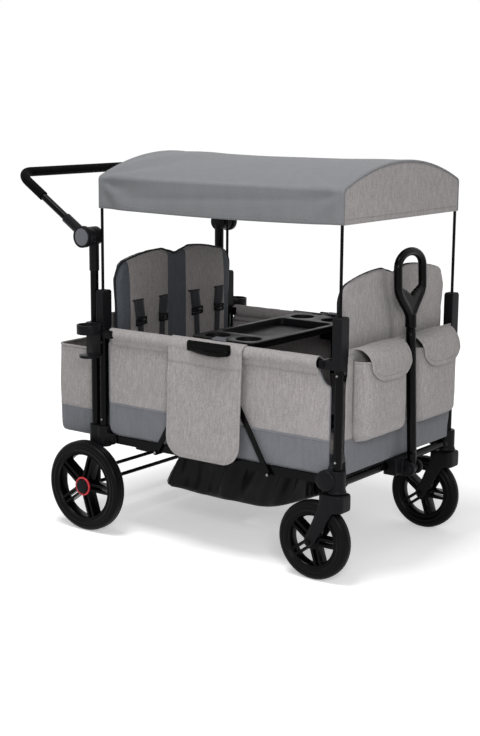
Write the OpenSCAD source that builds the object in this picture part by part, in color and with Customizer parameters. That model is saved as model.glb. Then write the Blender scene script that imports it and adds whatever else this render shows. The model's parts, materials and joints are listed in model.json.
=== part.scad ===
/* [Frame] */
// Distance from the rear posts to the front posts
post_gap_x = 848; // [836:1:870]
// Diameter of the posts and of the rear uprights
post_d = 25; // [24:0.5:26]
// Wall of the steel tubes
tube_wall = 2; // [1.5:0.1:3]
// Height of the posts' lower ends
post_foot_z = 301; // [300:0.5:304]
// Height of the posts' upper ends
post_top_z = 680; // [670:1:685]
// Height of the upper cross tubes
upper_cross_z = 575; // [560:1:580]
// Diameter of the upper cross tubes
upper_cross_d = 18; // [16:0.5:20]
// Height of the lower cross tubes
lower_cross_z = 282; // [280:1:284]
// Diameter of the lower cross tubes
lower_cross_d = 22; // [20:0.5:23]

/* [Rails and hinges] */
// Height of the top rails' pins
top_rail_z = 613; // [605:1:625]
// Diameter of the top rails
top_rail_d = 25; // [24:0.5:26]
// Height of the bottom rails' pins
low_rail_z = 290; // [288:1:294]
// Height of the bottom rails
low_rail_h = 24; // [22:0.5:25]
// Width of the bottom rails
low_rail_w = 20; // [18:0.5:22]
// Distance from a post to the rail pins beside it
pin_inset = 44; // [42:1:48]
// Distance between the two pins of a middle hinge
hinge_pitch = 30; // [28:1:34]
// Half the length of a middle hinge
hinge_half = 30; // [29:0.5:34]
// Diameter of the hinge pins
pin_d = 10; // [8:0.5:11]
// Thickness of the hinge cheeks
cheek_t = 4; // [3:0.5:5]
// Thickness of the bracket ears
ear_t = 5; // [4:0.5:6]
// Radius of the bracket ears at the bottom rails
low_ear_r = 17; // [15:0.5:19]
// Distance from the middle to the foot of a support link
link_foot_x = 205; // [195:1:215]
// Distance that the foot of a support link lies below the rail pins
link_foot_drop = 13; // [10:1:14]
// Distance from the middle to the head of a support link
link_head_x = 30; // [26:1:34]
// Distance that the head of a support link lies below the top rail pins
link_head_drop = 35; // [33:1:40]
// Width of a support link
link_w = 16; // [14:0.5:18]
// Thickness of a support link
link_t = 4; // [3:0.5:4.5]
// Diameter of the support links' studs
stud_d = 8; // [6:0.5:9]
// Length of the guide plates behind the side flaps
guide_h = 160; // [150:1:175]

/* [Top brackets] */
// Length of a top bracket along the wagon
bracket_l = 30; // [28:0.5:34]
// Height of the top brackets' lower ends
bracket_foot_z = 600; // [597:0.5:600]
// Height of the top brackets' upper ends
bracket_top_z = 745; // [730:1:755]
// Thickness of a top bracket on the inner side of its post
bracket_inner = 23; // [20:0.5:26]

/* [Wheels] */
// Diameter of the rear wheels
rear_wheel_d = 280; // [270:1:290]
// Width of the rear wheels
rear_wheel_w = 44; // [40:0.5:46]
// Distance from a rear upright to the middle of its wheel
rear_wheel_set = 45; // [44:0.5:50]
// Diameter of the rear axle
axle_d = 12; // [10:0.5:13]
// Diameter of the front wheels
front_wheel_d = 226; // [218:1:232]
// Width of the front wheels
front_wheel_w = 40; // [36:0.5:42]
// Diameter of the front axles
front_axle_d = 10; // [8:0.5:11]
// Depth of the tyres
tyre_t = 32; // [26:0.5:34]
// Thickness of a wheel's rim
rim_t = 11; // [9:0.5:13]
// Number of spoke pairs in a wheel
spoke_pairs = 5; // [4:1:6]
// Gap between the two spokes of a pair
spoke_gap = 10; // [8:0.5:14]
// Width of a spoke
spoke_w = 8; // [6:0.5:10]

/* [Casters] */
// Distance from the swivel axis back to the front axle
caster_trail = 70; // [66:1:76]
// Height of the caster housings' lower ends
housing_foot_z = 258; // [256:0.5:259]
// Height of the caster housings' upper ends
housing_top_z = 322; // [318:0.5:328]
// Diameter of the caster housings
housing_d = 48; // [46:0.5:52]
// Diameter of the swivel stems
stem_d = 16; // [14:0.5:18]
// Depth of the fork's crown
crown_h = 50; // [46:1:54]
// Thickness of the fork's arms
fork_arm_t = 10; // [8:0.5:12]

/* [Push handle] */
// Distance from a rear post back to the upright beside it
upright_set = 34; // [33:0.5:38]
// Height of the push handle's pivot
handle_z = 905; // [890:1:930]
// Distance from the pivot to the cross bar of the push handle
arm_l = 329; // [315:1:345]
// Angle of the push handle above the horizontal
arm_rise = 33; // [20:1:45]
// Diameter of the push handle's bar
push_bar_d = 22; // [20:0.5:23]
// Radius of the push handle's bends
push_bend_r = 50; // [44:1:56]
// Diameter of the foam grip
grip_d = 29; // [27:0.5:31]
// Distance from the pivot to the ends of the foam grip
grip_start = 205; // [190:1:220]
// Diameter of the handle hubs
hub_d = 56; // [52:0.5:57]
// Thickness of the hubs on the uprights
inner_hub_t = 28; // [26:0.5:29]
// Thickness of the hubs on the push handle
outer_hub_t = 33; // [31:0.5:36]
// Distance from the pivot down to the end of a hub's sleeve
hub_sleeve_l = 105; // [95:1:115]
// Diameter of the stub pins in the hubs
stub_d = 16; // [14:0.5:18]
// Diameter of the hub buttons
button_d = 40; // [36:0.5:42]
// Travel of the hub buttons
button_travel = 3; // [2:0.5:4]

/* [Brake] */
// Height of the rear axle is half a wheel, and the brake rod lies this far above it
brake_rise = 42; // [40:0.5:46]
// Diameter of the brake rod
brake_rod_d = 11; // [10:0.5:12]
// Length of the brake pedal
pedal_l = 70; // [60:1:80]
// Width of the brake pedal
pedal_w = 80; // [70:1:90]
// Length of the brake pawls
pawl_l = 24; // [20:0.5:26]

/* [Canopy] */
// Height of the canopy's lower edge
canopy_edge_z = 990; // [970:1:1010]
// Height of the canopy's shoulders
canopy_shoulder_z = 1084; // [1070:1:1094]
// Height of the canopy's middle
canopy_apex_z = 1150; // [1140:1:1165]
// Thickness of the canopy cloth
canopy_t = 2.5; // [2:0.1:3]
// Diameter of the canopy poles
pole_d = 9; // [8:0.5:10]

/* [Seats] */
// Half the width of a seat back
seat_half_w = 285; // [270:1:288]
// Height of the seat backs' lower edges
seat_foot_z = 352; // [350:1:365]
// Height of a seat back's shoulders
seat_shoulder_z = 812; // [790:1:830]
// Height of a seat back's two peaks
seat_peak_z = 850; // [840:1:860]
// Depth of the notch between the peaks
seat_notch = 12; // [8:0.5:16]
// Distance from the middle to a peak
seat_peak_y = 62; // [55:1:75]
// Thickness of a seat back at its edges
seat_edge_t = 15; // [12:0.5:16]
// Crown of a seat back
seat_crown = 12; // [8:0.5:13]
// Half the width of the seat back's middle channel
seat_channel = 45; // [38:1:52]
// Thickness of the seat decks
deck_t = 6; // [5:0.5:8]
// Thickness of a seat cushion at its edges
cushion_t = 22; // [18:0.5:24]
// Crown of a seat cushion
cushion_crown = 12; // [8:0.5:14]

/* [Side panels and flaps] */
// Thickness of the side panels
panel_t = 4; // [3:0.5:5]
// Diameter of the cloth sleeve on a top rail
sleeve_d = 36; // [34:0.5:38]
// Length of the bare rail at the post end of a sleeve
sleeve_bare = 64; // [60:1:72]
// Rear edge of a side flap, from the middle
flap_rear = 151; // [140:1:160]
// Front edge of a side flap, from the middle
flap_front = 115; // [105:1:125]
// Height of a side flap's lower edge
flap_foot_z = 285; // [275:1:300]
// Height of a side flap's upper edge
flap_top_z = 626; // [622:1:630]
// Thickness of a side flap
flap_t = 4; // [3:0.5:4.5]
// Angle at which a side flap hangs out
flap_lean = 2.4; // [1.5:0.1:3]
// Half the length of a fold latch
latch_half = 80; // [70:1:90]
// Height of a fold latch
latch_h = 38; // [34:1:42]
// Thickness of a fold latch
latch_t = 15.5; // [12:0.5:18]

/* [Tray] */
// Half the length of the tray along the wagon
tray_half_l = 115; // [108:1:125]
// Distance from the tray's side edges to the rails' middle plane
tray_margin = 27; // [24:0.5:35]
// Half the length of the tray's recess
recess_half_l = 98; // [90:1:100]
// Distance from the tray's recess to the middles of the cup wells
recess_margin = 62; // [57:0.5:72]
// Depth of the tray's recess
recess_depth = 20; // [15:0.5:22]
// Diameter of the cup wells
well_d = 76; // [72:0.5:80]
// Depth of the cup wells
well_depth = 54; // [48:0.5:60]
// Distance of the cup wells from the wagon's cross axis
well_x = 57; // [54:0.5:60]
// Distance from the middles of the cup wells to the tray's side edges
well_margin = 61; // [57:0.5:67]
// Wall of the tray
tray_wall = 3; // [2.5:0.1:3.5]

/* [Baskets and pockets] */
// Wall of the rear basket, the pockets and the footwell
cloth_t = 3; // [2.5:0.1:4]
// Depth of the rear basket along the wagon
basket_l = 176; // [165:1:190]
// Height of the rear basket's floor
basket_foot_z = 275; // [272:1:280]
// Height of the rear basket's rim
basket_top_z = 555; // [552:1:556]
// Distance from the rear basket's sides to the posts' middle plane
basket_margin = 25; // [22:0.5:40]
// Diameter of the bar that carries the rear basket
basket_bar_d = 12; // [10:0.5:14]
// Rear end of the footwell, from the middle
well_rear_x = 230; // [220:1:240]
// Front end of the footwell, from the middle
well_front_x = 245; // [235:1:250]
// Distance from the footwell's sides to the posts' middle plane
footwell_margin = 100; // [96:1:110]
// Height of the footwell's floor
footwell_foot_z = 128; // [120:1:140]
// Inner edge of a front pocket, from the wagon's long axis
pocket_in_y = 42; // [40:1:48]
// Distance from a front pocket's outer edge to the posts' middle plane
pocket_margin = 68; // [60:1:75]
// Depth of the front pockets along the wagon
pocket_l = 50; // [44:1:56]
// Height of the front pockets' floors
pocket_foot_z = 390; // [380:1:400]
// Height of the front pockets' rims
pocket_top_z = 618; // [605:1:625]
// Height of the end panels' upper edges
end_panel_top_z = 668; // [655:1:675]

/* [Cup holders] */
// Inner diameter of a cup holder's ring
cup_d = 66; // [62:0.5:70]
// Wall of a cup holder's ring
cup_wall = 4; // [3:0.5:5]
// Height of a cup holder's ring
cup_ring_h = 28; // [24:1:32]
// Height of the cup holders' upper rims
cup_top_z = 645; // [635:1:655]
// Height from a cup holder's base to its rim
cup_h = 100; // [90:1:110]
// Distance from an upright forward to the middle of its cup
cup_set_x = 28; // [24:1:32]
// Distance from an upright out to the middle of its cup
cup_set_y = 58; // [56:1:62]

/* [Pull handle] */
// Distance from the front posts forward to the pull handle's pin
pull_set = 56; // [54:1:62]
// Height of the pull handle's pin
pull_z = 275; // [272:1:278]
// Angle at which the pull handle leans back
pull_lean = 2.4; // [1.8:0.1:2.8]
// Diameter of the pull handle's outer tube
pull_tube_d = 26; // [25:0.5:28]
// Diameter of the pull handle's inner tube
pull_inner_d = 18; // [16:0.5:19]
// Distance from the pin to the neck of the loop grip
pull_neck = 420; // [410:1:430]
// Distance from the pin to the middle of the loop grip
pull_loop = 572; // [560:1:585]
// Outer radius of the loop grip
loop_r = 65; // [60:1:68]
// Width of the loop grip's bar
loop_bar = 28; // [24:0.5:30]
// Thickness of the loop grip
loop_t = 26; // [24:0.5:28]
// Diameter of the pull handle's pin
pull_pin_d = 12; // [10:0.5:13]
// Outer radius of the pull bracket's ears
pull_ear_r = 22; // [20:0.5:24]
// Width of the pull bracket's block
pull_block_w = 120; // [100:1:130]
// Height of the pull bracket's block
pull_block_h = 45; // [42:1:48]

/* [Clearances] */
// Radial clearance of a pin or shaft that turns in its bore
run_gap = 0.05; // [0.02:0.01:0.1]
// Gap between a piece and the seat that carries it
seat_gap = 0.3; // [0.2:0.05:0.4]
// Gap between a seat back and the top brackets beside it
seat_side_gap = 2; // [1.5:0.1:4]
// Gap between pieces that swing past each other
swing_gap = 0.5; // [0.4:0.05:0.8]

/* [Hidden] */
$fn = 48;

// Colours
STEEL = "#1d1d1f";
PLASTIC = "#2a2a2b";
RUBBER = "#17171a";
HEATHER = "#a39b98";
SLATE = "#76797f";
CANOPY = "#8b8c8e";
SHADE = "#3f4247";
BUTTON = "#8d8f92";

// Frame lines
post_x = post_gap_x / 2;
post_y = seat_half_w + seat_side_gap + bracket_inner;
post_r = post_d / 2;
socket_d = post_d + 4 * run_gap;
upright_x = post_x + upright_set;
pin_x = post_x - pin_inset;
hinge_x = hinge_pitch / 2;
pin_bore_d = pin_d + 2 * run_gap;
pin_head_d = pin_d + 8;
pin_head_t = 3;
head_gap = 0.1;
knuckle_proud = 0.5;
cross_seat = 14;
cross_boss_t = 4;

// Rails and the planes beside them, measured outwards from the rail's middle plane
top_ear_in = top_rail_d / 2 + swing_gap;
low_ear_in = low_rail_w / 2 + swing_gap;
low_ear_t = ear_t + 1;
low_cheek_out = low_ear_in + cheek_t;
link_in = max(low_cheek_out, top_rail_d / 2) + swing_gap;
link_out = link_in + link_t;
guide_in = link_out + swing_gap - 0.1;
guide_t = 2;
guide_out = guide_in + guide_t;
flap_in = guide_out + seat_gap;
cover_t = 2.5;
top_cover_z = top_rail_z + top_rail_d / 2 + swing_gap + 0.2;
low_cover_z = low_rail_z + low_rail_h / 2 + swing_gap;
deck_z = low_rail_z + low_rail_h / 2;
deck_top_z = deck_z + deck_t;
deck_half_w = post_y - low_rail_w / 2 + 4;
deck_end_x = pin_x - 30;
deck_inner_x = 165;
guide_margin = 34;

// Widths of the pieces that lie between the posts
tray_half_w = post_y - tray_margin;
well_y = tray_half_w - well_margin;
recess_half_w = well_y - recess_margin;
basket_half_w = post_y - basket_margin;
footwell_half_w = post_y - footwell_margin;
pocket_out_y = post_y - pocket_margin;

// Ends
end_panel_x = post_x + max(upper_cross_d, lower_cross_d - 4) / 2 + seat_gap;
end_panel_t = 3;
end_panel_foot_z = lower_cross_z + lower_cross_d / 2 + 12;
end_panel_half_w = post_y - bracket_inner - 0.5;
seat_back_x = post_x - upper_cross_d / 2 - seat_gap;
basket_bar_z = basket_top_z - 7;

// Wheels
axle_x = upright_x;
axle_z = rear_wheel_d / 2;
rear_wheel_y = post_y + rear_wheel_set;
axle_bore_d = axle_d + 2 * run_gap;
brake_z = axle_z + brake_rise;
front_axle_z = front_wheel_d / 2;
fork_arm_in = front_wheel_w / 2 + 3;
fork_arm_out = fork_arm_in + fork_arm_t;
crown_top_z = housing_foot_z - 2;
stem_top_z = post_foot_z - 6;

// Push handle, across the wagon from a post's middle plane
inner_hub_in = inner_hub_t - 38;
inner_hub_out = inner_hub_in + inner_hub_t;
outer_hub_in = inner_hub_out + swing_gap;
outer_hub_out = outer_hub_in + outer_hub_t;
arm_y = post_y + outer_hub_in + outer_hub_t / 2;
button_depth = 5 + button_travel;
button_in = outer_hub_out - button_depth + button_travel + 0.6;
button_out = outer_hub_out + button_travel + 0.5;
stub_out = outer_hub_out - button_depth - 3.5;
arm_start = hub_d / 2 + 2;
arm_sleeve_end = 95;

// Canopy
elbow_proud = 0.4;
canopy_half_w = post_y + pole_d / 2 + elbow_proud + seat_gap + canopy_t;
canopy_r = (pow(canopy_half_w, 2) + pow(canopy_apex_z - canopy_shoulder_z, 2))
  / (2 * (canopy_apex_z - canopy_shoulder_z));
canopy_centre_z = canopy_apex_z - canopy_r;
bow_r = canopy_r - canopy_t - elbow_proud - seat_gap - pole_d / 2;
bow_corner_z = canopy_centre_z + sqrt(pow(bow_r, 2) - pow(post_y, 2));
canopy_in_x = post_x + pole_d / 2 + elbow_proud + seat_gap;
pole_foot_z = post_top_z + 12;

// Pull handle
pull_x = post_x + pull_set;
pull_knuckle_r = pull_tube_d / 2 + 2;
pull_knuckle_w = 31;

// The wagon's middle, between its foremost and rearmost points
front_reach = pull_x + pull_ear_r;
rear_reach = -(upright_x + arm_l * cos(arm_rise) + grip_d / 2);
mid_x = (front_reach + rear_reach) / 2;

// Helpers
function arc(cx, cy, r, a0, a1, n = 8) = [for (i = [0:n]) let (a = a0 + (a1 - a0) * i / n)
  [cx + r * cos(a), cy + r * sin(a)]];
function rounded_rect(x0, y0, x1, y1, r) = concat(arc(x1 - r, y1 - r, r, 0, 90), arc(x0 + r, y1 - r, r, 90, 180),
  arc(x0 + r, y0 + r, r, 180, 270), arc(x1 - r, y0 + r, r, 270, 360));
// Outline round two circles of different size
function taper(p, r1, q, r2) = let (d = q - p, phi = atan2(d.y, d.x), g = acos((r1 - r2) / norm(d)))
  concat(arc(p.x, p.y, r1, phi + g, phi + 360 - g, 16), arc(q.x, q.y, r2, phi - g, phi + g, 16));
function quad(a, b, c, d) = [[a, c, b], [a, d, c]];
// Faces of a closed pad whose face and back are grids of m by n patches
function pad_faces(m, n) = let (w = n + 1, o = (m + 1) * w) concat(
  [for (i = [0:m - 1], j = [0:n - 1]) each quad(i * w + j, (i + 1) * w + j, (i + 1) * w + j + 1, i * w + j + 1)],
  [for (i = [0:m - 1], j = [0:n - 1])
    each quad(o + i * w + j, o + i * w + j + 1, o + (i + 1) * w + j + 1, o + (i + 1) * w + j)],
  [for (j = [0:n - 1]) each quad(j, j + 1, o + j + 1, o + j)],
  [for (j = [0:n - 1]) each quad(m * w + j, o + m * w + j, o + m * w + j + 1, m * w + j + 1)],
  [for (i = [0:m - 1]) each quad(i * w, o + i * w, o + (i + 1) * w, (i + 1) * w)],
  [for (i = [0:m - 1]) each quad(i * w + n, (i + 1) * w + n, o + (i + 1) * w + n, o + i * w + n)]);
function swell(u) = 1 - pow(abs(u), 4);

module placed() translate([-mid_x, 0, 0]) children();
module both_sides() {
  children();
  mirror([0, 1, 0]) children();
}
module right_side() mirror([0, 1, 0]) children();
module rear_end() mirror([1, 0, 0]) children();
module y_rod(d, y0, y1) translate([0, y0, 0]) rotate([-90, 0, 0]) cylinder(d = d, h = y1 - y0);
module x_rod(d, x0, x1) translate([x0, 0, 0]) rotate([0, 90, 0]) cylinder(d = d, h = x1 - x0);
module z_rod(d, z0, z1) translate([0, 0, z0]) cylinder(d = d, h = z1 - z0);
module xz_plate(y0, y1) translate([0, y1, 0]) rotate([90, 0, 0]) linear_extrude(y1 - y0) children();
module yz_plate(x0, x1) translate([x0, 0, 0]) rotate([90, 0, 90]) linear_extrude(x1 - x0) children();
module xy_plate(z0, z1) translate([0, 0, z0]) linear_extrude(z1 - z0) children();
module ring(d, bore_d) difference() {
  circle(d = d);
  circle(d = bore_d);
}
module z_tube(d, z0, z1) translate([0, 0, z0]) linear_extrude(z1 - z0) ring(d, d - 2 * tube_wall);
module y_tube(d, half_l) translate([0, -half_l, 0]) rotate([-90, 0, 0])
  linear_extrude(2 * half_l) ring(d, d - 2 * tube_wall);

// Ends of the frame, drawn at the front and mirrored for the rear
module end_frame() color(STEEL) {
  both_sides() translate([post_x, post_y, 0]) z_tube(post_d, post_foot_z, post_top_z);
  translate([post_x, 0, upper_cross_z]) y_tube(upper_cross_d, post_y - post_r - seat_gap);
  translate([post_x, 0, lower_cross_z]) y_tube(lower_cross_d, post_y - housing_d / 2 + 2);
}

module top_bracket() translate([post_x, post_y, 0]) {
  ear_out = top_ear_in + ear_t;
  ear_r = top_rail_d / 2 + 0.5;
  taper_z = bracket_foot_z + 45;
  difference() {
    union() {
      yz_plate(-bracket_l / 2, bracket_l / 2) polygon([[-ear_out, bracket_foot_z], [ear_out, bracket_foot_z],
        [ear_out, bracket_top_z - 6], [ear_out - 6, bracket_top_z], [6 - bracket_inner, bracket_top_z],
        [-bracket_inner, bracket_top_z - 6], [-bracket_inner, taper_z]]);
      for (y = [-ear_out, top_ear_in]) {
        translate([-pin_inset, 0, top_rail_z]) y_rod(2 * ear_r, y, y + ear_t);
        xz_plate(y, y + ear_t) polygon(rounded_rect(-pin_inset, top_rail_z - ear_r, 0, top_rail_z + ear_r, 0.5));
      }
    }
    z_rod(socket_d, bracket_foot_z - 1, post_top_z + seat_gap);
    z_rod(pole_d + 4 * run_gap, pole_foot_z - 2, bracket_top_z + 1);
    translate([-pin_inset, 0, top_rail_z]) y_rod(pin_bore_d, -ear_out - 1, ear_out + 1);
  }
}

module low_ears(r) {
  ear_out = low_ear_in + low_ear_t;
  for (y = [-ear_out, low_ear_in]) {
    translate([-pin_inset, 0, low_rail_z]) y_rod(2 * r, y, y + low_ear_t);
    xz_plate(y, y + low_ear_t) polygon(rounded_rect(-pin_inset, low_rail_z - r, 0, low_rail_z + r, 0.5));
  }
}
module low_pin_bore() translate([-pin_inset, 0, low_rail_z])
  y_rod(pin_bore_d, -low_ear_in - low_ear_t - 1, low_ear_in + low_ear_t + 1);
module cross_boss() translate([0, 0, lower_cross_z])
  y_rod(lower_cross_d + 2 * cross_boss_t, -housing_d / 2 - cross_seat + 2, 0);
module cross_bore() translate([0, 0, lower_cross_z])
  y_rod(lower_cross_d + 4 * run_gap, -housing_d / 2 - cross_seat, -housing_d / 2 + 2 + seat_gap);

module pivot_pins() color(STEEL) both_sides() translate([pin_x, post_y, 0]) {
  top_out = top_ear_in + ear_t;
  low_out = low_ear_in + low_ear_t;
  translate([0, 0, top_rail_z]) {
    y_rod(pin_d, -top_out - pin_head_t, top_out + pin_head_t);
    for (y = [-top_out - pin_head_t, top_out]) y_rod(pin_head_d, y, y + pin_head_t);
  }
  translate([0, 0, low_rail_z]) {
    y_rod(pin_d, -low_out - pin_head_t, low_out + pin_head_t);
    for (y = [-low_out - pin_head_t, low_out]) y_rod(pin_head_d + 8, y, y + pin_head_t);
  }
}

module canopy_frame() color(STEEL) {
  both_sides() translate([post_x, post_y, 0]) {
    z_rod(pole_d, pole_foot_z, bow_corner_z);
    z_rod(pole_d + 2 * elbow_proud, bow_corner_z - 24, bow_corner_z + pole_d / 4);
  }
  bow_angle = asin(post_y / bow_r);
  translate([post_x, 0, canopy_centre_z]) rotate([90, 0, 90]) rotate([0, 0, 90 - bow_angle])
    rotate_extrude(angle = 2 * bow_angle) translate([bow_r, 0]) circle(d = pole_d);
}

module end_panel() color(HEATHER) yz_plate(end_panel_x, end_panel_x + end_panel_t)
  polygon(rounded_rect(-end_panel_half_w, end_panel_foot_z, end_panel_half_w, end_panel_top_z, 20));

// Seat back: two crowned halves on either side of a sewn middle channel
function seat_top(y) = let (a = abs(y), corner = 40,
    slope = (a - seat_peak_y) / (seat_half_w - seat_peak_y),
    crest = a < seat_peak_y ? seat_peak_z - seat_notch * (1 - pow(a / seat_peak_y, 2))
      : seat_peak_z - (seat_peak_z - seat_shoulder_z) * slope * slope,
    over = max(0, a - seat_half_w + corner))
  crest - corner + sqrt(corner * corner - over * over);
function seat_depth(y, v) = let (a = abs(y), mid = (seat_half_w + seat_channel) / 2,
    half = (seat_half_w - seat_channel) / 2,
    across = a < seat_channel ? 0.35 * swell(a / seat_channel) : swell((a - mid) / half))
  seat_edge_t + seat_crown * across * swell(2 * v - 1);
module seat_back() {
  rows = 12;
  columns = 28;
  grid = [for (i = [0:rows], j = [0:columns]) let (v = i / rows, y0 = seat_half_w * (2 * j / columns - 1),
    y = y0 * (1 - 0.02 * sin(180 * v))) [y, seat_foot_z + v * (seat_top(y0) - seat_foot_z), seat_depth(y0, v)]];
  color(SHADE) polyhedron(concat([for (p = grid) [seat_back_x - p.z, p.x, p.y]],
    [for (p = grid) [seat_back_x, p.x, p.y]]), pad_faces(rows, columns), convexity = 4);
}

// Seat cushion: crowned, with two sewn channels and sides drawn in between its corners
module seat_cushion() {
  rows = 10;
  columns = 24;
  x0 = deck_inner_x + 2;
  x1 = seat_back_x - seat_edge_t - seat_crown - 4;
  foot = deck_top_z + seat_gap;
  grid = [for (i = [0:rows], j = [0:columns]) let (u = 2 * i / rows - 1, s = 2 * j / columns - 1,
    third = 3 * (s + 1) / 2 - floor(min(3 * (s + 1) / 2, 2.999)))
    [(x0 + x1) / 2 + u * (x1 - x0) / 2 * (1 - 0.03 * swell(s)), s * seat_half_w * (1 - 0.015 * swell(u)),
     cushion_t + cushion_crown * swell(u) * (0.6 + 0.4 * swell(2 * third - 1)) * swell(s)]];
  color(SHADE) polyhedron(concat([for (p = grid) [p.x, p.y, foot + p.z]], [for (p = grid) [p.x, p.y, foot]]),
    pad_faces(rows, columns), convexity = 4);
}

// Bottom rails with the studs of the support links
module bottom_rails() color(STEEL) both_sides() translate([0, post_y, low_rail_z]) difference() {
  r = low_rail_h / 2;
  union() {
    for (x = [hinge_x, pin_x]) translate([x, 0, 0]) y_rod(low_rail_h, -low_rail_w / 2, low_rail_w / 2);
    xz_plate(-low_rail_w / 2, low_rail_w / 2) polygon([[hinge_x, -r], [pin_x, -r], [pin_x, r], [hinge_x, r]]);
    translate([link_foot_x, 0, -link_foot_drop]) {
      y_rod(stud_d + 8, -low_rail_w / 2, link_in - 0.2);
      y_rod(stud_d, 0, guide_in + 3);
      y_rod(stud_d + 6, link_out + 0.3, guide_in + 3);
    }
  }
  for (x = [hinge_x, pin_x]) translate([x, 0, 0]) y_rod(pin_bore_d, -low_rail_w, low_rail_w);
}

module deck() color(STEEL) difference() {
  xy_plate(deck_z, deck_top_z)
    polygon(rounded_rect(deck_inner_x, -deck_half_w, deck_end_x, deck_half_w, 8));
  both_sides() for (x = [deck_inner_x + 40, deck_end_x - 40]) translate([x, post_y - low_rail_w / 2 - 6, 0])
    z_rod(5, deck_z - 1, deck_top_z + 1);
}

module links() color(STEEL) both_sides() translate([0, post_y, 0]) difference() {
  foot = [link_foot_x, low_rail_z - link_foot_drop];
  head = [link_head_x, top_rail_z - link_head_drop];
  d = head - foot;
  xz_plate(link_in, link_out) polygon(concat(
    arc(foot.x, foot.y, link_w / 2, atan2(d.y, d.x) + 90, atan2(d.y, d.x) + 270, 16),
    arc(head.x, head.y, link_w / 2, atan2(d.y, d.x) - 90, atan2(d.y, d.x) + 90, 16)));
  translate([foot.x, 0, foot.y]) y_rod(stud_d + 2 * run_gap, link_in - 1, link_out + 1);
}

module top_rails() color(STEEL) both_sides() translate([0, post_y, top_rail_z]) difference() {
  union() {
    translate([hinge_x, 0, 0]) rotate([0, 90, 0]) linear_extrude(pin_x - hinge_x)
      ring(top_rail_d - 2 * knuckle_proud, top_rail_d - 2 * knuckle_proud - 2 * tube_wall);
    for (x = [hinge_x, pin_x]) translate([x, 0, 0]) y_rod(top_rail_d, -top_rail_d / 2, top_rail_d / 2);
  }
  for (x = [hinge_x, pin_x]) translate([x, 0, 0]) y_rod(pin_bore_d, -top_rail_d, top_rail_d);
}

// Side panel: a cloth wall between the rails, hung from a sleeve on the top rail
module side_panels() color(HEATHER) both_sides() translate([0, post_y, 0]) {
  sleeve_end = post_x - sleeve_bare;
  translate([hinge_half + 5, 0, top_rail_z]) rotate([0, 90, 0]) linear_extrude(sleeve_end - hinge_half - 5)
    ring(sleeve_d, top_rail_d + 2 * seat_gap);
  xz_plate(-panel_t / 2, panel_t / 2) polygon([[1, deck_z + 4], [post_x - housing_d / 2 - swing_gap, deck_z + 4],
    [post_x - housing_d / 2 - swing_gap, bracket_foot_z - 3], [sleeve_end, bracket_foot_z - 3],
    [sleeve_end, top_rail_z - sleeve_d / 2 + 3], [hinge_half + 5, top_rail_z - sleeve_d / 2 + 3],
    [hinge_half + 5, bracket_foot_z - 8], [1, bracket_foot_z - 8]]);
}

// Rear end
module rear_end_frame() {
  rear_end() end_frame();
  color(STEEL) translate([-upright_x, 0, basket_bar_z])
    y_rod(basket_bar_d, -post_y + post_r + seat_gap, post_y - post_r - seat_gap);
}
module rear_top_brackets() color(PLASTIC) rear_end() both_sides() top_bracket();

module rear_lower_brackets() color(PLASTIC) rear_end() both_sides() translate([post_x, post_y, 0]) {
  foot_z = housing_foot_z + 4;
  top_z = housing_top_z + 4;
  difference() {
    union() {
      z_rod(housing_d - 4, foot_z, top_z);
      translate([upright_set, 0, 0]) z_rod(housing_d - 8, foot_z, top_z);
      xy_plate(foot_z, top_z) polygon([[0, -housing_d / 2 + 4], [upright_set, -housing_d / 2 + 4],
        [upright_set, housing_d / 2 - 4], [0, housing_d / 2 - 4]]);
      low_ears(low_ear_r);
      cross_boss();
    }
    z_rod(socket_d, post_foot_z - seat_gap, top_z + 1);
    translate([upright_set, 0, 0]) z_rod(socket_d, foot_z - 1, top_z + 1);
    low_pin_bore();
    cross_bore();
  }
}

module handle_uprights() color(STEEL) both_sides() translate([-upright_x, post_y, 0]) difference() {
  z_tube(post_d, axle_z - 28, handle_z - 25);
  translate([0, 0, axle_z]) y_rod(axle_bore_d, -post_d, post_d);
  translate([0, 0, brake_z]) y_rod(brake_rod_d + 2 * run_gap, -post_d, post_d);
}

module cup_holders() color(PLASTIC) both_sides() translate([-upright_x, post_y, 0]) {
  base_z = cup_top_z - cup_h;
  sleeve_r = post_r + 5.5;
  ring_r = cup_d / 2 + cup_wall;
  strut_y = cup_set_y - ring_r;
  strut_out = strut_y + cup_wall - 0.5;
  arm_w = upright_set - bracket_l / 2 + 11;
  difference() {
    union() {
      z_rod(2 * sleeve_r, base_z, cup_top_z);
      translate([cup_set_x, cup_set_y, 0]) {
        z_rod(2 * ring_r, cup_top_z - cup_ring_h, cup_top_z);
        z_rod(cup_d - 6, base_z, base_z + 8);
      }
      translate([-14, strut_y, base_z]) cube([cup_set_x + 29, strut_out - strut_y, cup_h]);
      for (z = [base_z, cup_top_z - 20]) translate([-14, 0, z]) cube([arm_w, strut_out, 20]);
      translate([cup_set_x - 15, strut_y, base_z]) cube([30, cup_set_y - strut_y, 8]);
    }
    z_rod(socket_d, base_z - 1, cup_top_z + 1);
    translate([0, 0, basket_bar_z]) y_rod(basket_bar_d + 2 * seat_gap, -sleeve_r - 1, 0);
    translate([cup_set_x, cup_set_y, 0]) z_rod(cup_d, base_z + 8, cup_top_z + 1);
  }
}

module upright_hubs() color(PLASTIC) both_sides() translate([-upright_x, post_y, 0]) difference() {
  union() {
    translate([0, 0, handle_z]) {
      y_rod(hub_d, inner_hub_in, inner_hub_out);
      y_rod(stub_d, 0, stub_out);
    }
    z_rod(post_d + 5, handle_z - hub_sleeve_l, handle_z - 10);
  }
  z_rod(socket_d, handle_z - hub_sleeve_l - 1, handle_z - 25 + seat_gap);
}

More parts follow.
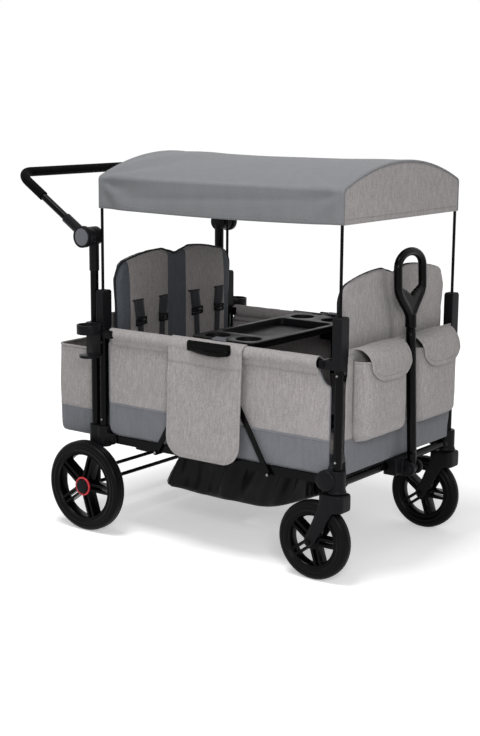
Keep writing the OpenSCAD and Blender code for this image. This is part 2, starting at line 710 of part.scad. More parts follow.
module rear_axle() color(STEEL) translate([-axle_x, 0, axle_z])
  y_rod(axle_d, -rear_wheel_y - rear_wheel_w / 2 - 2, rear_wheel_y + rear_wheel_w / 2 + 2);
module rear_pivot_pins() rear_end() pivot_pins();
module rear_canopy_frame() rear_end() canopy_frame();

// Canopy: an arched cloth roof with hanging sides and ends, open below
module canopy_profile(inset) {
  half_w = canopy_half_w - inset;
  r = canopy_r - inset;
  a = acos(half_w / r);
  polygon(concat([[half_w, canopy_edge_z - inset]], arc(0, canopy_centre_z, r, a, 180 - a, 24),
    [[-half_w, canopy_edge_z - inset]]));
}
module canopy_cover() color(CANOPY) difference() {
  yz_plate(-canopy_in_x - canopy_t, canopy_in_x + canopy_t) canopy_profile(0);
  yz_plate(-canopy_in_x, canopy_in_x) canopy_profile(canopy_t);
}
module rear_end_panel() rear_end() end_panel();
module rear_seat_back() rear_end() seat_back();

module rear_basket() color(HEATHER) {
  x1 = -upright_x - basket_bar_d / 2 - seat_gap;
  x0 = x1 - basket_l;
  corner = 30;
  difference() {
    xy_plate(basket_foot_z, basket_top_z)
      polygon(rounded_rect(x0, -basket_half_w, x1, basket_half_w, corner));
    xy_plate(basket_foot_z + cloth_t, basket_top_z + 1) polygon(rounded_rect(x0 + cloth_t,
      cloth_t - basket_half_w, x1 - cloth_t, basket_half_w - cloth_t, corner - cloth_t));
  }
}

// Brake: a cross rod through the uprights, with a pawl beside each wheel and a foot pedal
module brake_bar() color(PLASTIC) translate([-axle_x, 0, brake_z]) {
  pawl_in = post_y + post_r + 1.5;
  y_rod(brake_rod_d, -pawl_in - 5, pawl_in + 5);
  both_sides() xz_plate(pawl_in, pawl_in + 5) polygon([[-5.5, 0], [5.5, 0], [4, -pawl_l], [-4, -pawl_l]]);
  xz_plate(-pedal_w / 2, pedal_w / 2) polygon([[0, -5.5], [0, 5.5], [-pedal_l, 5], [-pedal_l - 4, 1],
    [-pedal_l, -3]]);
}

// Wheels, drawn round the Y axis
module tyre(d, w) {
  r = d / 2;
  seat_r = r - tyre_t;
  corner = 14;
  color(RUBBER) rotate([-90, 0, 0]) rotate_extrude() polygon(concat(
    arc(r - corner, w / 2 - corner, corner, 0, 90), [[seat_r, w / 2 - 3], [seat_r, 3 - w / 2]],
    arc(r - corner, corner - w / 2, corner, 270, 360)));
}
module rim(d, w, hub_in, hub_out, bore_d) {
  seat_r = d / 2 - tyre_t;
  inner_r = seat_r - rim_t;
  hub_r = bore_d / 2 + 20;
  color(PLASTIC) difference() {
    union() {
      rotate([-90, 0, 0]) rotate_extrude() polygon([[inner_r, w / 2 - 8], [inner_r + 3, w / 2 - 3],
        [seat_r, w / 2 - 3], [seat_r, 3 - w / 2], [inner_r + 3, 3 - w / 2], [inner_r, 8 - w / 2]]);
      for (k = [0:spoke_pairs - 1]) rotate([0, 360 * k / spoke_pairs, 0]) for (s = [-1, 1])
        translate([hub_r - 6, 5 - w / 2, s * (spoke_gap + spoke_w) / 2 - spoke_w / 2])
          cube([inner_r - hub_r + 9, w - 10, spoke_w]);
      y_rod(2 * hub_r, 4 - w / 2, w / 2 - 4);
      y_rod(bore_d + 16, hub_in, hub_out);
    }
    y_rod(bore_d, hub_in - 1, hub_out + 1);
  }
}
module rear_tyre() translate([-axle_x, rear_wheel_y, axle_z]) tyre(rear_wheel_d, rear_wheel_w);
module rear_rim() translate([-axle_x, rear_wheel_y, axle_z]) rim(rear_wheel_d, rear_wheel_w,
  post_r + swing_gap - rear_wheel_set, rear_wheel_w / 2, axle_bore_d);
module rear_tyre_right() right_side() rear_tyre();
module rear_rim_right() right_side() rear_rim();
module rear_tyre_left() rear_tyre();
module rear_rim_left() rear_rim();

// Push handle, drawn along +X from its pivot and turned to its angle
module at_handle() translate([-upright_x, 0, handle_z]) rotate([0, 180 + arm_rise, 0]) children();
module handle_loop(start, outer_d, bore_d) {
  bend = arm_l - push_bend_r;
  both_sides() {
    translate([start, arm_y, 0]) rotate([0, 90, 0]) linear_extrude(bend - start) ring(outer_d, bore_d);
    translate([bend, arm_y - push_bend_r, 0]) rotate_extrude(angle = 90) translate([push_bend_r, 0])
      ring(outer_d, bore_d);
  }
  translate([arm_l, push_bend_r - arm_y, 0]) rotate([-90, 0, 0]) linear_extrude(2 * (arm_y - push_bend_r))
    ring(outer_d, bore_d);
}
module push_bar() color(STEEL) at_handle() handle_loop(arm_start, push_bar_d, push_bar_d - 2 * tube_wall);
module push_grip() color(RUBBER) at_handle() handle_loop(grip_start, grip_d, push_bar_d);
module handle_hubs() color(PLASTIC) at_handle() both_sides() difference() {
  union() {
    translate([0, post_y, 0]) y_rod(hub_d, outer_hub_in, outer_hub_out);
    translate([0, arm_y, 0]) x_rod(push_bar_d + 8, 0, arm_sleeve_end);
  }
  translate([0, arm_y, 0]) x_rod(push_bar_d, arm_start - seat_gap, arm_sleeve_end + 1);
  translate([0, post_y, 0]) {
    y_rod(stub_d + 2 * run_gap, outer_hub_in - 1, stub_out + seat_gap);
    y_rod(button_d + 2 * run_gap, outer_hub_out - button_depth, outer_hub_out + 1);
  }
}
module handle_button() color(BUTTON) translate([-upright_x, post_y, handle_z]) {
  y_rod(button_d, button_in, button_out - 2);
  translate([0, button_out - 2, 0]) rotate([-90, 0, 0]) cylinder(d1 = button_d, d2 = button_d - 4, h = 2);
}
module handle_button_right() right_side() handle_button();
module handle_button_left() handle_button();

// Bottom of the sides
module rear_bottom_rails() rear_end() bottom_rails();
module rear_deck() rear_end() deck();
module rear_seat_cushion() rear_end() seat_cushion();
module front_bottom_rails() bottom_rails();
module front_deck() deck();
module front_seat_cushion() seat_cushion();

module bottom_hinges() color(STEEL) both_sides() translate([0, post_y, 0]) {
  half_h = low_rail_h / 2 + 1;
  difference() {
    union() {
      for (y = [-low_cheek_out, low_ear_in]) xz_plate(y, y + cheek_t)
        polygon(rounded_rect(-hinge_half, low_rail_z - half_h, hinge_half, low_cover_z + cover_t, 10));
      translate([-hinge_half + 10, -low_cheek_out, low_cover_z])
        cube([2 * hinge_half - 20, 2 * low_cheek_out, cover_t]);
    }
    for (x = [-hinge_x, hinge_x]) translate([x, 0, low_rail_z])
      y_rod(pin_bore_d, -low_cheek_out - 1, low_cheek_out + 1);
  }
  for (x = [-hinge_x, hinge_x]) translate([x, 0, low_rail_z]) y_rod(pin_d, -low_cheek_out, low_cheek_out);
}

// Footwell: a hanging cloth tub, open between the decks, with a hem under them
module footwell() color(STEEL) {
  top_z = deck_z - seat_gap;
  slope = 70;
  depth_z = footwell_foot_z;
  hem_y = post_y - low_cheek_out - seat_gap;
  difference() {
    union() {
      xz_plate(-footwell_half_w, footwell_half_w) polygon(concat([[well_front_x, top_z], [-well_rear_x, top_z]],
        arc(40 - well_rear_x, depth_z + 40, 40, 180, 270),
        arc(well_front_x - slope, depth_z + 40, 40, 270, 325)));
      xy_plate(top_z - cloth_t, top_z)
        polygon(rounded_rect(-well_rear_x - 10, -hem_y, well_front_x, hem_y, 15));
    }
    xz_plate(cloth_t - footwell_half_w, footwell_half_w - cloth_t) polygon(concat(
      [[well_front_x - cloth_t - 2, top_z - cloth_t], [cloth_t - well_rear_x, top_z - cloth_t]],
      arc(40 - well_rear_x, depth_z + 40, 40 - cloth_t, 180, 270),
      arc(well_front_x - slope, depth_z + 40, 40 - cloth_t, 270, 325)));
    translate([5 - deck_inner_x, cloth_t - footwell_half_w, top_z - cloth_t - 1])
      cube([2 * deck_inner_x - 10, 2 * (footwell_half_w - cloth_t), cloth_t + 2]);
  }
}

// Front end
module front_end_frame() end_frame();
module front_top_brackets() color(PLASTIC) both_sides() top_bracket();

module caster_housings() color(PLASTIC) both_sides() translate([post_x, post_y, 0]) difference() {
  union() {
    z_rod(housing_d, housing_foot_z, housing_top_z);
    z_rod(housing_d + 6, housing_foot_z, housing_foot_z + 6);
    low_ears(low_ear_r + 4);
    cross_boss();
  }
  z_rod(socket_d, post_foot_z - seat_gap, housing_top_z + 1);
  z_rod(stem_d + 2 * run_gap, housing_foot_z - 1, stem_top_z + seat_gap);
  low_pin_bore();
  cross_bore();
}
module front_pivot_pins() pivot_pins();
module front_canopy_frame() canopy_frame();
module front_end_panel() end_panel();
module front_seat_back() seat_back();

// Front pockets: two open boxes of cloth, each under a tongue-shaped flap
module front_pockets() color(HEATHER) both_sides() {
  x0 = end_panel_x + end_panel_t;
  x1 = x0 + pocket_l;
  mid_y = (pocket_in_y + pocket_out_y) / 2;
  tongue = (pocket_out_y - pocket_in_y) / 2 - 24;
  tip_z = pocket_top_z - 65;
  difference() {
    xy_plate(pocket_foot_z, pocket_top_z) polygon(concat([[x0, pocket_in_y]],
      arc(x1 - 22, pocket_in_y + 22, 22, 270, 360), arc(x1 - 22, pocket_out_y - 22, 22, 0, 90),
      [[x0, pocket_out_y]]));
    xy_plate(pocket_foot_z + cloth_t, pocket_top_z + 1) polygon(concat([[x0 + cloth_t, pocket_in_y + cloth_t]],
      arc(x1 - 22, pocket_in_y + 22, 22 - cloth_t, 270, 360), arc(x1 - 22, pocket_out_y - 22, 22 - cloth_t, 0, 90),
      [[x0 + cloth_t, pocket_out_y - cloth_t]]));
  }
  flap_x = x1 + seat_gap;
  yz_plate(flap_x, flap_x + cloth_t) polygon(concat([[mid_y + tongue + 8, pocket_top_z + 12]],
    [[mid_y - tongue - 8, pocket_top_z + 12]], arc(mid_y - tongue + 30, tip_z + 30, 30, 180, 270),
    arc(mid_y + tongue - 30, tip_z + 30, 30, 270, 360)));
  xz_plate(mid_y - tongue - 8, mid_y + tongue + 8) polygon([[x0, end_panel_top_z - 6 - cloth_t],
    [x0, end_panel_top_z - 6], [flap_x + cloth_t, pocket_top_z + 12], [flap_x, pocket_top_z + 10]]);
}

module pull_bracket() color(PLASTIC) {
  ear_in = pull_knuckle_w / 2 + swing_gap;
  ear_w = 10;
  block_x = pull_x - pull_knuckle_r - 3;
  difference() {
    union() {
      translate([post_x - 4, -pull_block_w / 2, lower_cross_z + 21 - pull_block_h])
        cube([block_x - post_x + 4, pull_block_w, pull_block_h]);
      both_sides() {
        translate([pull_x, 0, pull_z]) y_rod(2 * pull_ear_r, ear_in, ear_in + ear_w);
        translate([block_x - 6, ear_in, pull_z - pull_ear_r]) cube([pull_set - 30, ear_w, 2 * pull_ear_r]);
      }
    }
    translate([post_x, 0, lower_cross_z]) y_rod(lower_cross_d + 4 * run_gap, -pull_block_w, pull_block_w);
    translate([pull_x, 0, pull_z]) y_rod(pull_pin_d + 2 * run_gap, -ear_in - ear_w - 1, ear_in + ear_w + 1);
  }
  translate([pull_x, 0, pull_z]) {
    y_rod(pull_pin_d, -ear_in - ear_w - 3, ear_in + ear_w + 3);
    both_sides() y_rod(pull_pin_d + 8, ear_in + ear_w + head_gap, ear_in + ear_w + 3);
  }
}

// Casters, drawn round their swivel axis
module at_caster() translate([post_x, post_y, 0]) children();
module caster_fork() at_caster() {
  crown_foot_z = crown_top_z - crown_h;
  axle_p = [-caster_trail, front_axle_z];
  color(PLASTIC) difference() {
    union() {
      xy_plate(crown_foot_z, crown_top_z)
        polygon(rounded_rect(-45, -fork_arm_out, 32, fork_arm_out, 16));
      both_sides() xz_plate(fork_arm_in, fork_arm_out)
        polygon(taper([-8, crown_foot_z + 30], 26, axle_p, 17));
      z_rod(stem_d, crown_top_z - 6, stem_top_z);
    }
    translate([-caster_trail, 0, front_axle_z]) {
      y_rod(front_wheel_d + 12, -fork_arm_in, fork_arm_in);
      y_rod(front_axle_d + 2 * run_gap, -fork_arm_out - 1, fork_arm_out + 1);
    }
    xy_plate(crown_top_z, crown_top_z + 30) difference() {
      square(120, center = true);
      circle(d = stem_d);
    }
  }
  color(STEEL) translate([-caster_trail, 0, front_axle_z]) {
    y_rod(front_axle_d, -fork_arm_out - 4, fork_arm_out + 4);
    both_sides() y_rod(front_axle_d + 8, fork_arm_out + head_gap, fork_arm_out + 4);
  }
}
module front_tyre() at_caster() translate([-caster_trail, 0, front_axle_z]) tyre(front_wheel_d, front_wheel_w);
module front_rim() at_caster() translate([-caster_trail, 0, front_axle_z]) rim(front_wheel_d, front_wheel_w,
  swing_gap - fork_arm_in, fork_arm_in - swing_gap, front_axle_d + 2 * run_gap);
module caster_fork_right() right_side() caster_fork();
module front_tyre_right() right_side() front_tyre();
module front_rim_right() right_side() front_rim();
module caster_fork_left() caster_fork();
module front_tyre_left() front_tyre();
module front_rim_left() front_rim();

// Pull handle, drawn upright from its pin and leaned back
module at_pull() translate([pull_x, 0, pull_z]) rotate([0, -pull_lean, 0]) children();
module pull_tube() color(STEEL) at_pull() difference() {
  union() {
    y_rod(2 * pull_knuckle_r, -pull_knuckle_w / 2, pull_knuckle_w / 2);
    z_rod(pull_tube_d, 0, pull_neck - 15);
  }
  y_rod(pull_pin_d + 2 * run_gap, -pull_knuckle_w, pull_knuckle_w);
  z_rod(pull_inner_d + 4 * run_gap, 40, pull_neck);
}
module pull_handle() color(PLASTIC) at_pull() {
  hole_r = loop_r - loop_bar;
  z_rod(pull_inner_d, 60, pull_neck);
  z_rod(pull_tube_d + 6, pull_neck - 15 + seat_gap, pull_neck + 22);
  difference() {
    yz_plate(-loop_t / 2, loop_t / 2) polygon(taper([0, pull_neck], 15, [0, pull_loop], loop_r));
    yz_plate(-loop_t, loop_t) polygon(taper([0, pull_loop - 68], 8, [0, pull_loop - 2], hole_r));
    z_rod(3 * pull_tube_d, 0, pull_neck - 15 + seat_gap);
  }
}

// Top of the sides
module rear_top_rails() rear_end() top_rails();
module rear_side_panels() rear_end() side_panels();
module front_top_rails() top_rails();
module front_side_panels() side_panels();
module rear_links() rear_end() links();
module front_links() links();

module top_hinges() color(STEEL) both_sides() translate([0, post_y, 0]) {
  cheek_out = top_ear_in + cheek_t;
  half_h = top_rail_d / 2 + 2.5;
  guide_top_z = bracket_foot_z;
  difference() {
    union() {
      for (y = [-cheek_out, top_ear_in]) xz_plate(y, y + cheek_t)
        polygon(rounded_rect(-hinge_half, top_rail_z - half_h, hinge_half, top_cover_z + cover_t, 8));
      translate([8 - hinge_half, -cheek_out, top_cover_z]) cube([2 * hinge_half - 16, 2 * cheek_out, cover_t]);
      translate([-hinge_half, top_ear_in, guide_top_z - 8]) cube([2 * hinge_half, guide_out - top_ear_in, 10]);
      xz_plate(guide_in, guide_out) polygon(rounded_rect(-link_head_x - guide_margin,
        guide_top_z - guide_h, link_head_x + guide_margin, guide_top_z + 2, 10));
    }
    for (x = [-hinge_x, hinge_x]) translate([x, 0, top_rail_z]) y_rod(pin_bore_d, -cheek_out - 1, cheek_out + 1);
  }
  for (x = [-hinge_x, hinge_x]) translate([x, 0, top_rail_z]) y_rod(pin_d, -cheek_out, cheek_out);
}

// Side flap: a cloth tongue that hangs outside the middle hinge, notched for the latch
module side_flaps() color(HEATHER) both_sides() translate([0, post_y + flap_in, bracket_foot_z])
  rotate([flap_lean, 0, 0]) translate([0, 0, -bracket_foot_z]) xz_plate(0, flap_t) difference() {
    corner = 60;
    polygon(concat([[flap_front, flap_top_z], [-flap_rear, flap_top_z]],
      arc(corner - flap_rear, flap_foot_z + corner, corner, 180, 270),
      arc(flap_front - corner, flap_foot_z + corner, corner, 270, 360)));
    translate([-20, bracket_foot_z + 3]) square([40, 60]);
  }

module latch() color(PLASTIC) translate([0, post_y, 0]) {
  boss_in = top_ear_in + cheek_t + seat_gap;
  face_in = flap_in + flap_t + swing_gap;
  mid_z = top_rail_z - 4;
  xz_plate(face_in, face_in + latch_t) polygon(rounded_rect(-latch_half, mid_z - latch_h / 2, latch_half,
    mid_z + latch_h / 2, latch_h / 2 - 1));
  translate([-15, boss_in, bracket_foot_z + 6]) cube([30, face_in - boss_in + 2, 16]);
}
module latch_right() right_side() latch();
module latch_left() latch();

// Tray: rests on the middle hinges by four lugs, with a recess and four cup wells
module tray() color(PLASTIC) {
  rest_z = top_cover_z + cover_t + seat_gap;
  rim_t2 = 5;
  top_z = rest_z + rim_t2;
  skirt_z = top_z - recess_depth - tray_wall;
  inset = 10;
  difference() {
    union() {
      xy_plate(rest_z, top_z)
        polygon(rounded_rect(-tray_half_l, -tray_half_w, tray_half_l, tray_half_w, 28));
      xy_plate(skirt_z, rest_z) polygon(rounded_rect(inset - tray_half_l, inset - tray_half_w,
        tray_half_l - inset, tray_half_w - inset, 24));
      for (x = [-well_x, well_x], y = [-well_y, well_y]) translate([x, y, 0])
        z_rod(well_d + 2 * tray_wall, top_z - well_depth - tray_wall, rest_z);
      for (x = [-hinge_half + 2, hinge_half - 16]) translate([x, -post_y + top_ear_in, rest_z])
        cube([14, 2 * (post_y - top_ear_in), rim_t2]);
    }
    xy_plate(top_z - recess_depth, top_z + 1) polygon(rounded_rect(-recess_half_l, -recess_half_w,
      recess_half_l, recess_half_w, 20));
    for (x = [-well_x, well_x], y = [-well_y, well_y]) translate([x, y, 0])
      z_rod(well_d, top_z - well_depth, top_z + 1);
  }
}

placed() rear_end_frame();
placed() rear_top_brackets();
placed() rear_lower_brackets();
placed() handle_uprights();
placed() cup_holders();
placed() upright_hubs();
placed() rear_axle();
placed() rear_pivot_pins();
placed() rear_canopy_frame();
placed() canopy_cover();
placed() rear_end_panel();
placed() rear_seat_back();
placed() rear_basket();
placed() brake_bar();
placed() rear_tyre_right();
placed() rear_rim_right();
placed() rear_tyre_left();
placed() rear_rim_left();
placed() push_bar();
placed() push_grip();
placed() handle_hubs();
placed() handle_button_right();
placed() handle_button_left();
placed() rear_bottom_rails();
placed() rear_deck();
placed() rear_seat_cushion();
placed() bottom_hinges();
placed() footwell();
placed() front_bottom_rails();
placed() front_deck();
placed() front_seat_cushion();
placed() front_end_frame();
placed() front_top_brackets();
placed() caster_housings();
placed() front_pivot_pins();
placed() front_canopy_frame();
placed() front_end_panel();
placed() front_seat_back();
placed() front_pockets();
placed() pull_bracket();
placed() caster_fork_right();
placed() front_tyre_right();
placed() front_rim_right();
placed() caster_fork_left();
placed() front_tyre_left();
placed() front_rim_left();
placed() pull_tube();
placed() pull_handle();
placed() rear_top_rails();
placed() rear_side_panels();
placed() top_hinges();
placed() side_flaps();
placed() tray();
placed() front_top_rails();
placed() front_side_panels();
placed() rear_links();
placed() front_links();
placed() latch_right();
placed() latch_left();
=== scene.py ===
"""Looks of a folding stroller wagon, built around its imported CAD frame."""
import json
from math import atan2, cos, degrees, exp, hypot, pi, radians, sin, sqrt, tan, tau

import bmesh
import bpy
from mathutils import Matrix, Vector, noise


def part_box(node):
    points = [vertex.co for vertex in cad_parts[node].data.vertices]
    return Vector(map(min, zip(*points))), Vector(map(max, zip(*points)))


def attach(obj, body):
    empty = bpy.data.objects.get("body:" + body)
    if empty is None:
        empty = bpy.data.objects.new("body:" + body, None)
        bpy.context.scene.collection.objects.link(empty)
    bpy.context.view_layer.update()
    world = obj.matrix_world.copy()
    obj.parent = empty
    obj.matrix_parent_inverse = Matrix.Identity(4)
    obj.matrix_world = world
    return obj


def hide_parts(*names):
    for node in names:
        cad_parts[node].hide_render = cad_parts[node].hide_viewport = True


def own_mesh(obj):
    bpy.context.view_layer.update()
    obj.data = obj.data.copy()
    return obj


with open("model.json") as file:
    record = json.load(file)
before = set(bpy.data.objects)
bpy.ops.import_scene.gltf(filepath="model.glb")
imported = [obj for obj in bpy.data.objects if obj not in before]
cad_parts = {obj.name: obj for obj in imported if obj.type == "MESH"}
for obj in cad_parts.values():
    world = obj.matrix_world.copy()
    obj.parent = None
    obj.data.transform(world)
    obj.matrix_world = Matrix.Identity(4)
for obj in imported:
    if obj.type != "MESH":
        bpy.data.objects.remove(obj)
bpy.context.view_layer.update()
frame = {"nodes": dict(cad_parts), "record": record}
nodes = frame["nodes"]
home = {n: body for body, members in frame["record"]["behaviour"]["bodies"].items() for n in members}
finish_of = {part["node"]: part["material_slot"] for part in frame["record"]["subparts"]}

MM = 0.001
hinge_low, hinge_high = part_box("top_hinges")
FOLD_X = (hinge_low.x + hinge_high.x) / 2
SIDES = (("right", -1), ("left", 1))
ENDS = (("rear", -1), ("front", 1))


def at(x, y, z):
    """Row-frame point of a place in millimetres from the middle of the fold, at ground level."""
    return Vector((FOLD_X + x * MM, y * MM, z * MM))


def smooth(t):
    """Eased step from 0 to 1."""
    t = min(1.0, max(0.0, t))
    return t * t * (3 - 2 * t)


def wavy(x, y, z):
    """Smooth irregular waves between -1 and 1, the same on each run."""
    return noise.noise(Vector((x, y, z)))


def part_way(line, share):
    """Place at a share of the way through a line of places."""
    d = share * (len(line) - 1)
    k = min(len(line) - 2, int(d))
    t = d - k
    return [a * (1 - t) + b * t for a, b in zip(line[k], line[k + 1])]


def hex_rgb(code):
    """Linear colour of an sRGB hex code."""
    parts = [int(code[i:i + 2], 16) / 255 for i in (1, 3, 5)]
    return [c / 12.92 if c <= 0.04045 else ((c + 0.055) / 1.055) ** 2.4 for c in parts] + [1.0]


def add(tree, kind, inputs=None, **settings):
    """Adds a node, sets its inputs to values or links them from sockets or nodes, and returns it."""
    node = tree.nodes.new(kind)
    for key, value in settings.items():
        setattr(node, key, value)
    for key, value in (inputs or {}).items():
        if isinstance(value, bpy.types.Node):
            value = value.outputs[0]
        if isinstance(value, bpy.types.NodeSocket):
            tree.links.new(value, node.inputs[key])
        else:
            node.inputs[key].default_value = value
    return node


def calc(tree, operation, *values):
    """One sum on values or sockets."""
    return add(tree, "ShaderNodeMath", dict(enumerate(values)), operation=operation)


def mixed(tree, share, first, second):
    """The colour at a share of the way from the first to the second."""
    return add(tree, "ShaderNodeMix", {0: share, 6: first, 7: second}, data_type="RGBA").outputs[2]


def grain(tree, where, size_mm, detail, **inputs):
    """Irregular noise with features of this size."""
    return add(tree, "ShaderNodeTexNoise", {"Vector": where, "Scale": 1000 / size_mm, "Detail": detail, **inputs})


def new_material(name, colour, roughness, **sockets):
    """A material named for the real one, with its constants on the shader's own sockets."""
    look = bpy.data.materials.new(name)
    look.use_nodes = True
    shader = look.node_tree.nodes["Principled BSDF"]
    shader.inputs["Base Color"].default_value = hex_rgb(colour)
    shader.inputs["Roughness"].default_value = roughness
    for key, value in sockets.items():
        shader.inputs[key.replace("_", " ")].default_value = value
    return look


def hard_look(name, colour, rough, size_mm, depth_mm, **sockets):
    """A hard surface with a fine irregular grain of this size and depth; its gloss changes a little over 40 mm."""
    look = new_material(name, colour, rough, **sockets)
    tree = look.node_tree
    shader = tree.nodes["Principled BSDF"]
    place = add(tree, "ShaderNodeTexCoord")
    bumps = grain(tree, place.outputs["Object"], size_mm, 3.0)
    relief = add(tree, "ShaderNodeBump", {"Height": bumps, "Distance": depth_mm * MM, "Strength": 1.0})
    tree.links.new(relief.outputs[0], shader.inputs["Normal"])
    patches = grain(tree, place.outputs["Object"], 40, 2.0)
    gloss = add(tree, "ShaderNodeMapRange", {"Value": patches, "From Min": 0.3, "From Max": 0.7,
                                             "To Min": 0.85 * rough, "To Max": 1.1 * rough})
    tree.links.new(gloss.outputs[0], shader.inputs["Roughness"])
    return look


def cloth_look(name, dark, light, streak_mm, weave_mm, seed, trim=None, sheen=0.08, roughness=0.92, shine=0.2):
    """Woven cloth: threads of two shades in upright streaks, a soft mottle and a fine weave relief.
    The real weave of about 1 mm is drawn at weave_mm, since one pixel covers 3 mm.
    Trim is a second cloth's two shades, and the distances in mm from the middle between which the first one shows."""
    look = new_material(name, light, roughness, Sheen_Weight=sheen, Specular_IOR_Level=shine)
    tree = look.node_tree
    place = add(tree, "ShaderNodeTexCoord")
    shift = add(tree, "ShaderNodeVectorMath", {0: place.outputs["Object"], 1: (seed, seed, seed)}, operation="ADD")
    long_way = add(tree, "ShaderNodeVectorMath", {0: shift, 1: (1.0, 1.0, 0.25)}, operation="MULTIPLY")
    streaks = grain(tree, long_way, streak_mm, 2.0, Roughness=0.65)
    mottle = grain(tree, shift, weave_mm, 1.0)
    both = calc(tree, "ADD", streaks, mottle)
    shade = add(tree, "ShaderNodeMapRange", {"Value": both, "From Min": 0.68, "From Max": 1.32})
    colour = mixed(tree, shade, hex_rgb(dark), hex_rgb(light))
    if trim:
        trim_dark, trim_light, near, far = trim
        axes = add(tree, "ShaderNodeSeparateXYZ", {0: place.outputs["Object"]})
        off = calc(tree, "ABSOLUTE", axes.outputs["Y"])
        past = calc(tree, "GREATER_THAN", off, near * MM)
        short = calc(tree, "LESS_THAN", off, far * MM)
        panel = calc(tree, "MULTIPLY", past, short)
        second = mixed(tree, shade, hex_rgb(trim_dark), hex_rgb(trim_light))
        colour = mixed(tree, panel, second, colour)
    relief = add(tree, "ShaderNodeBump", {"Height": mottle, "Distance": 0.5 * MM, "Strength": 0.6})
    shader = tree.nodes["Principled BSDF"]
    tree.links.new(colour, shader.inputs["Base Color"])
    tree.links.new(relief.outputs[0], shader.inputs["Normal"])
    return look


# Powder-coated steel and black anodised aluminium tube: black, satin, with a faint orange-peel skin
TUBE = hard_look("satin powder-coated steel", "#050506", 0.26, 2.5, 0.006, Specular_IOR_Level=0.07)
RIVET = hard_look("zinc-plated rivet", "#7d7f83", 0.35, 2, 0.02, Metallic=0.8)
# Injection-moulded parts: charcoal with a fine spark-eroded grain, gloss black and smooth grey
MOULDED = hard_look("moulded charcoal ABS", "#151517", 0.38, 3, 0.02, Specular_IOR_Level=0.06)
SPOKE = hard_look("moulded black nylon", "#040404", 0.28, 4, 0.02, Specular_IOR_Level=0.06)
GLOSS = hard_look("gloss black ABS", "#040405", 0.22, 5, 0.01, Specular_IOR_Level=0.08)
BUTTON = hard_look("smooth grey ABS", "#55565c", 0.4, 4, 0.02)
RED_RING = hard_look("red ABS", "#b81f2b", 0.4, 4, 0.02)
# Foamed wheels and grip: soft black skins
TYRE = hard_look("EVA tyre foam", "#09090a", 0.36, 4, 0.03, Specular_IOR_Level=0.07)
GRIP = hard_look("EVA grip foam", "#050506", 0.7, 3, 0.12, Specular_IOR_Level=0.04)
# Cloths: plain-woven canopy, two-tone melange walls, plain slate, black bag cloth, ribbed webbing
CANOPY = cloth_look("plain grey polyester", "#717275", "#77787b", 30, 5, 3.1, roughness=0.7)
HEATHER = cloth_look("heather melange polyester", "#8c8787", "#a9a4a4", 6, 3.5, 0.0)
SLATE = cloth_look("slate polyester", "#6c6d72", "#76787d", 12, 5, 1.7)
# The seat cover is the walls' heather beside a slate trim. Both are darker than the walls' own cloths, as painted shade
# for the seats under the canopy
SEAT_IN_PAINTED_SHADE = cloth_look("heather and slate seat cover in painted shade", "#807a7a", "#9a9494", 6, 3.5, 5.3, ("#45484e", "#50545a", 45, 235))
BLACK_CLOTH = cloth_look("black polyester", "#09090a", "#101012", 10, 5, 2.3, sheen=0.0, roughness=0.36, shine=0.09)
WEBBING = cloth_look("polypropylene webbing", "#28292c", "#35363a", 5, 3, 4.4)
PIPING = hard_look("black piping", "#141517", 0.7, 3, 0.1, Specular_IOR_Level=0.2)
THREAD = hard_look("grey thread", "#8b8886", 0.8, 2, 0.1)
DARK_THREAD = hard_look("dark thread", "#5b5d62", 0.8, 2, 0.1)

SLOT_LOOKS = {"black_steel": TUBE, "black_aluminium": TUBE, "charcoal_plastic": MOULDED, "tyre_rubber": TYRE,
              "grip_foam": GRIP, "button_plastic": BUTTON, "canopy_cloth": CANOPY, "heather_cloth": HEATHER,
              "seat_cloth": SEAT_IN_PAINTED_SHADE, "black_cloth": BLACK_CLOTH}


def dress(obj, look):
    """Gives a piece this one material."""
    obj.data.materials.clear()
    obj.data.materials.append(look)


for name, node in nodes.items():
    dress(node, SLOT_LOOKS[finish_of[name]])


def stand(name, data):
    """Puts a new object into the scene."""
    obj = bpy.data.objects.new(name, data)
    bpy.context.scene.collection.objects.link(obj)
    return obj


def piece(name, points, faces, look):
    mesh = bpy.data.meshes.new(name)
    mesh.from_pydata([tuple(p) for p in points], [], faces)
    mesh.materials.append(look)
    mesh.shade_smooth()
    return stand(name, mesh)


def modify(obj, label, kind, **settings):
    """Puts a modifier with these settings on a piece."""
    step = obj.modifiers.new(label, kind)
    for key, value in settings.items():
        setattr(step, key, value)


def bake(obj):
    """Turns a piece's modifiers into its mesh, shaded smooth."""
    graph = bpy.context.evaluated_depsgraph_get()
    mesh = bpy.data.meshes.new_from_object(obj.evaluated_get(graph))
    obj.modifiers.clear()
    obj.data = mesh
    mesh.shade_smooth()
    return obj


def reshape(obj, change):
    """Runs a change on a piece's mesh as a bmesh."""
    shape = bmesh.new()
    shape.from_mesh(obj.data)
    change(shape)
    shape.to_mesh(obj.data)
    shape.free()
    return obj


def thicken(obj, thick):
    """Makes a sheet a closed cloth of this thickness in mm."""
    modify(obj, "thickness", "SOLIDIFY", thickness=thick * MM, offset=0)
    return bake(obj)


def grid(rows, columns, ring, round_rows=True):
    """Faces between rows of points: a ring joins the last row to the first, round rows close on themselves."""
    return [(i * columns + k, i * columns + (k + 1) % columns, (i + 1) % rows * columns + (k + 1) % columns,
             (i + 1) % rows * columns + k)
            for i in range(rows if ring else rows - 1) for k in range(columns if round_rows else columns - 1)]


def cloth(name, point, across, along, look, thick=2.0, ring=False):
    """Cloth through point(u, v), u and v from 0 to 1; a ring closes on itself along u."""
    columns = across if ring else across + 1
    spots = [point(i / across, j / along) for i in range(columns) for j in range(along + 1)]
    faces = [(a, d, c, b) for a, b, c, d in grid(columns, along + 1, ring, round_rows=False)]
    obj = piece(name, spots, faces, look)
    return thicken(obj, thick) if thick else obj


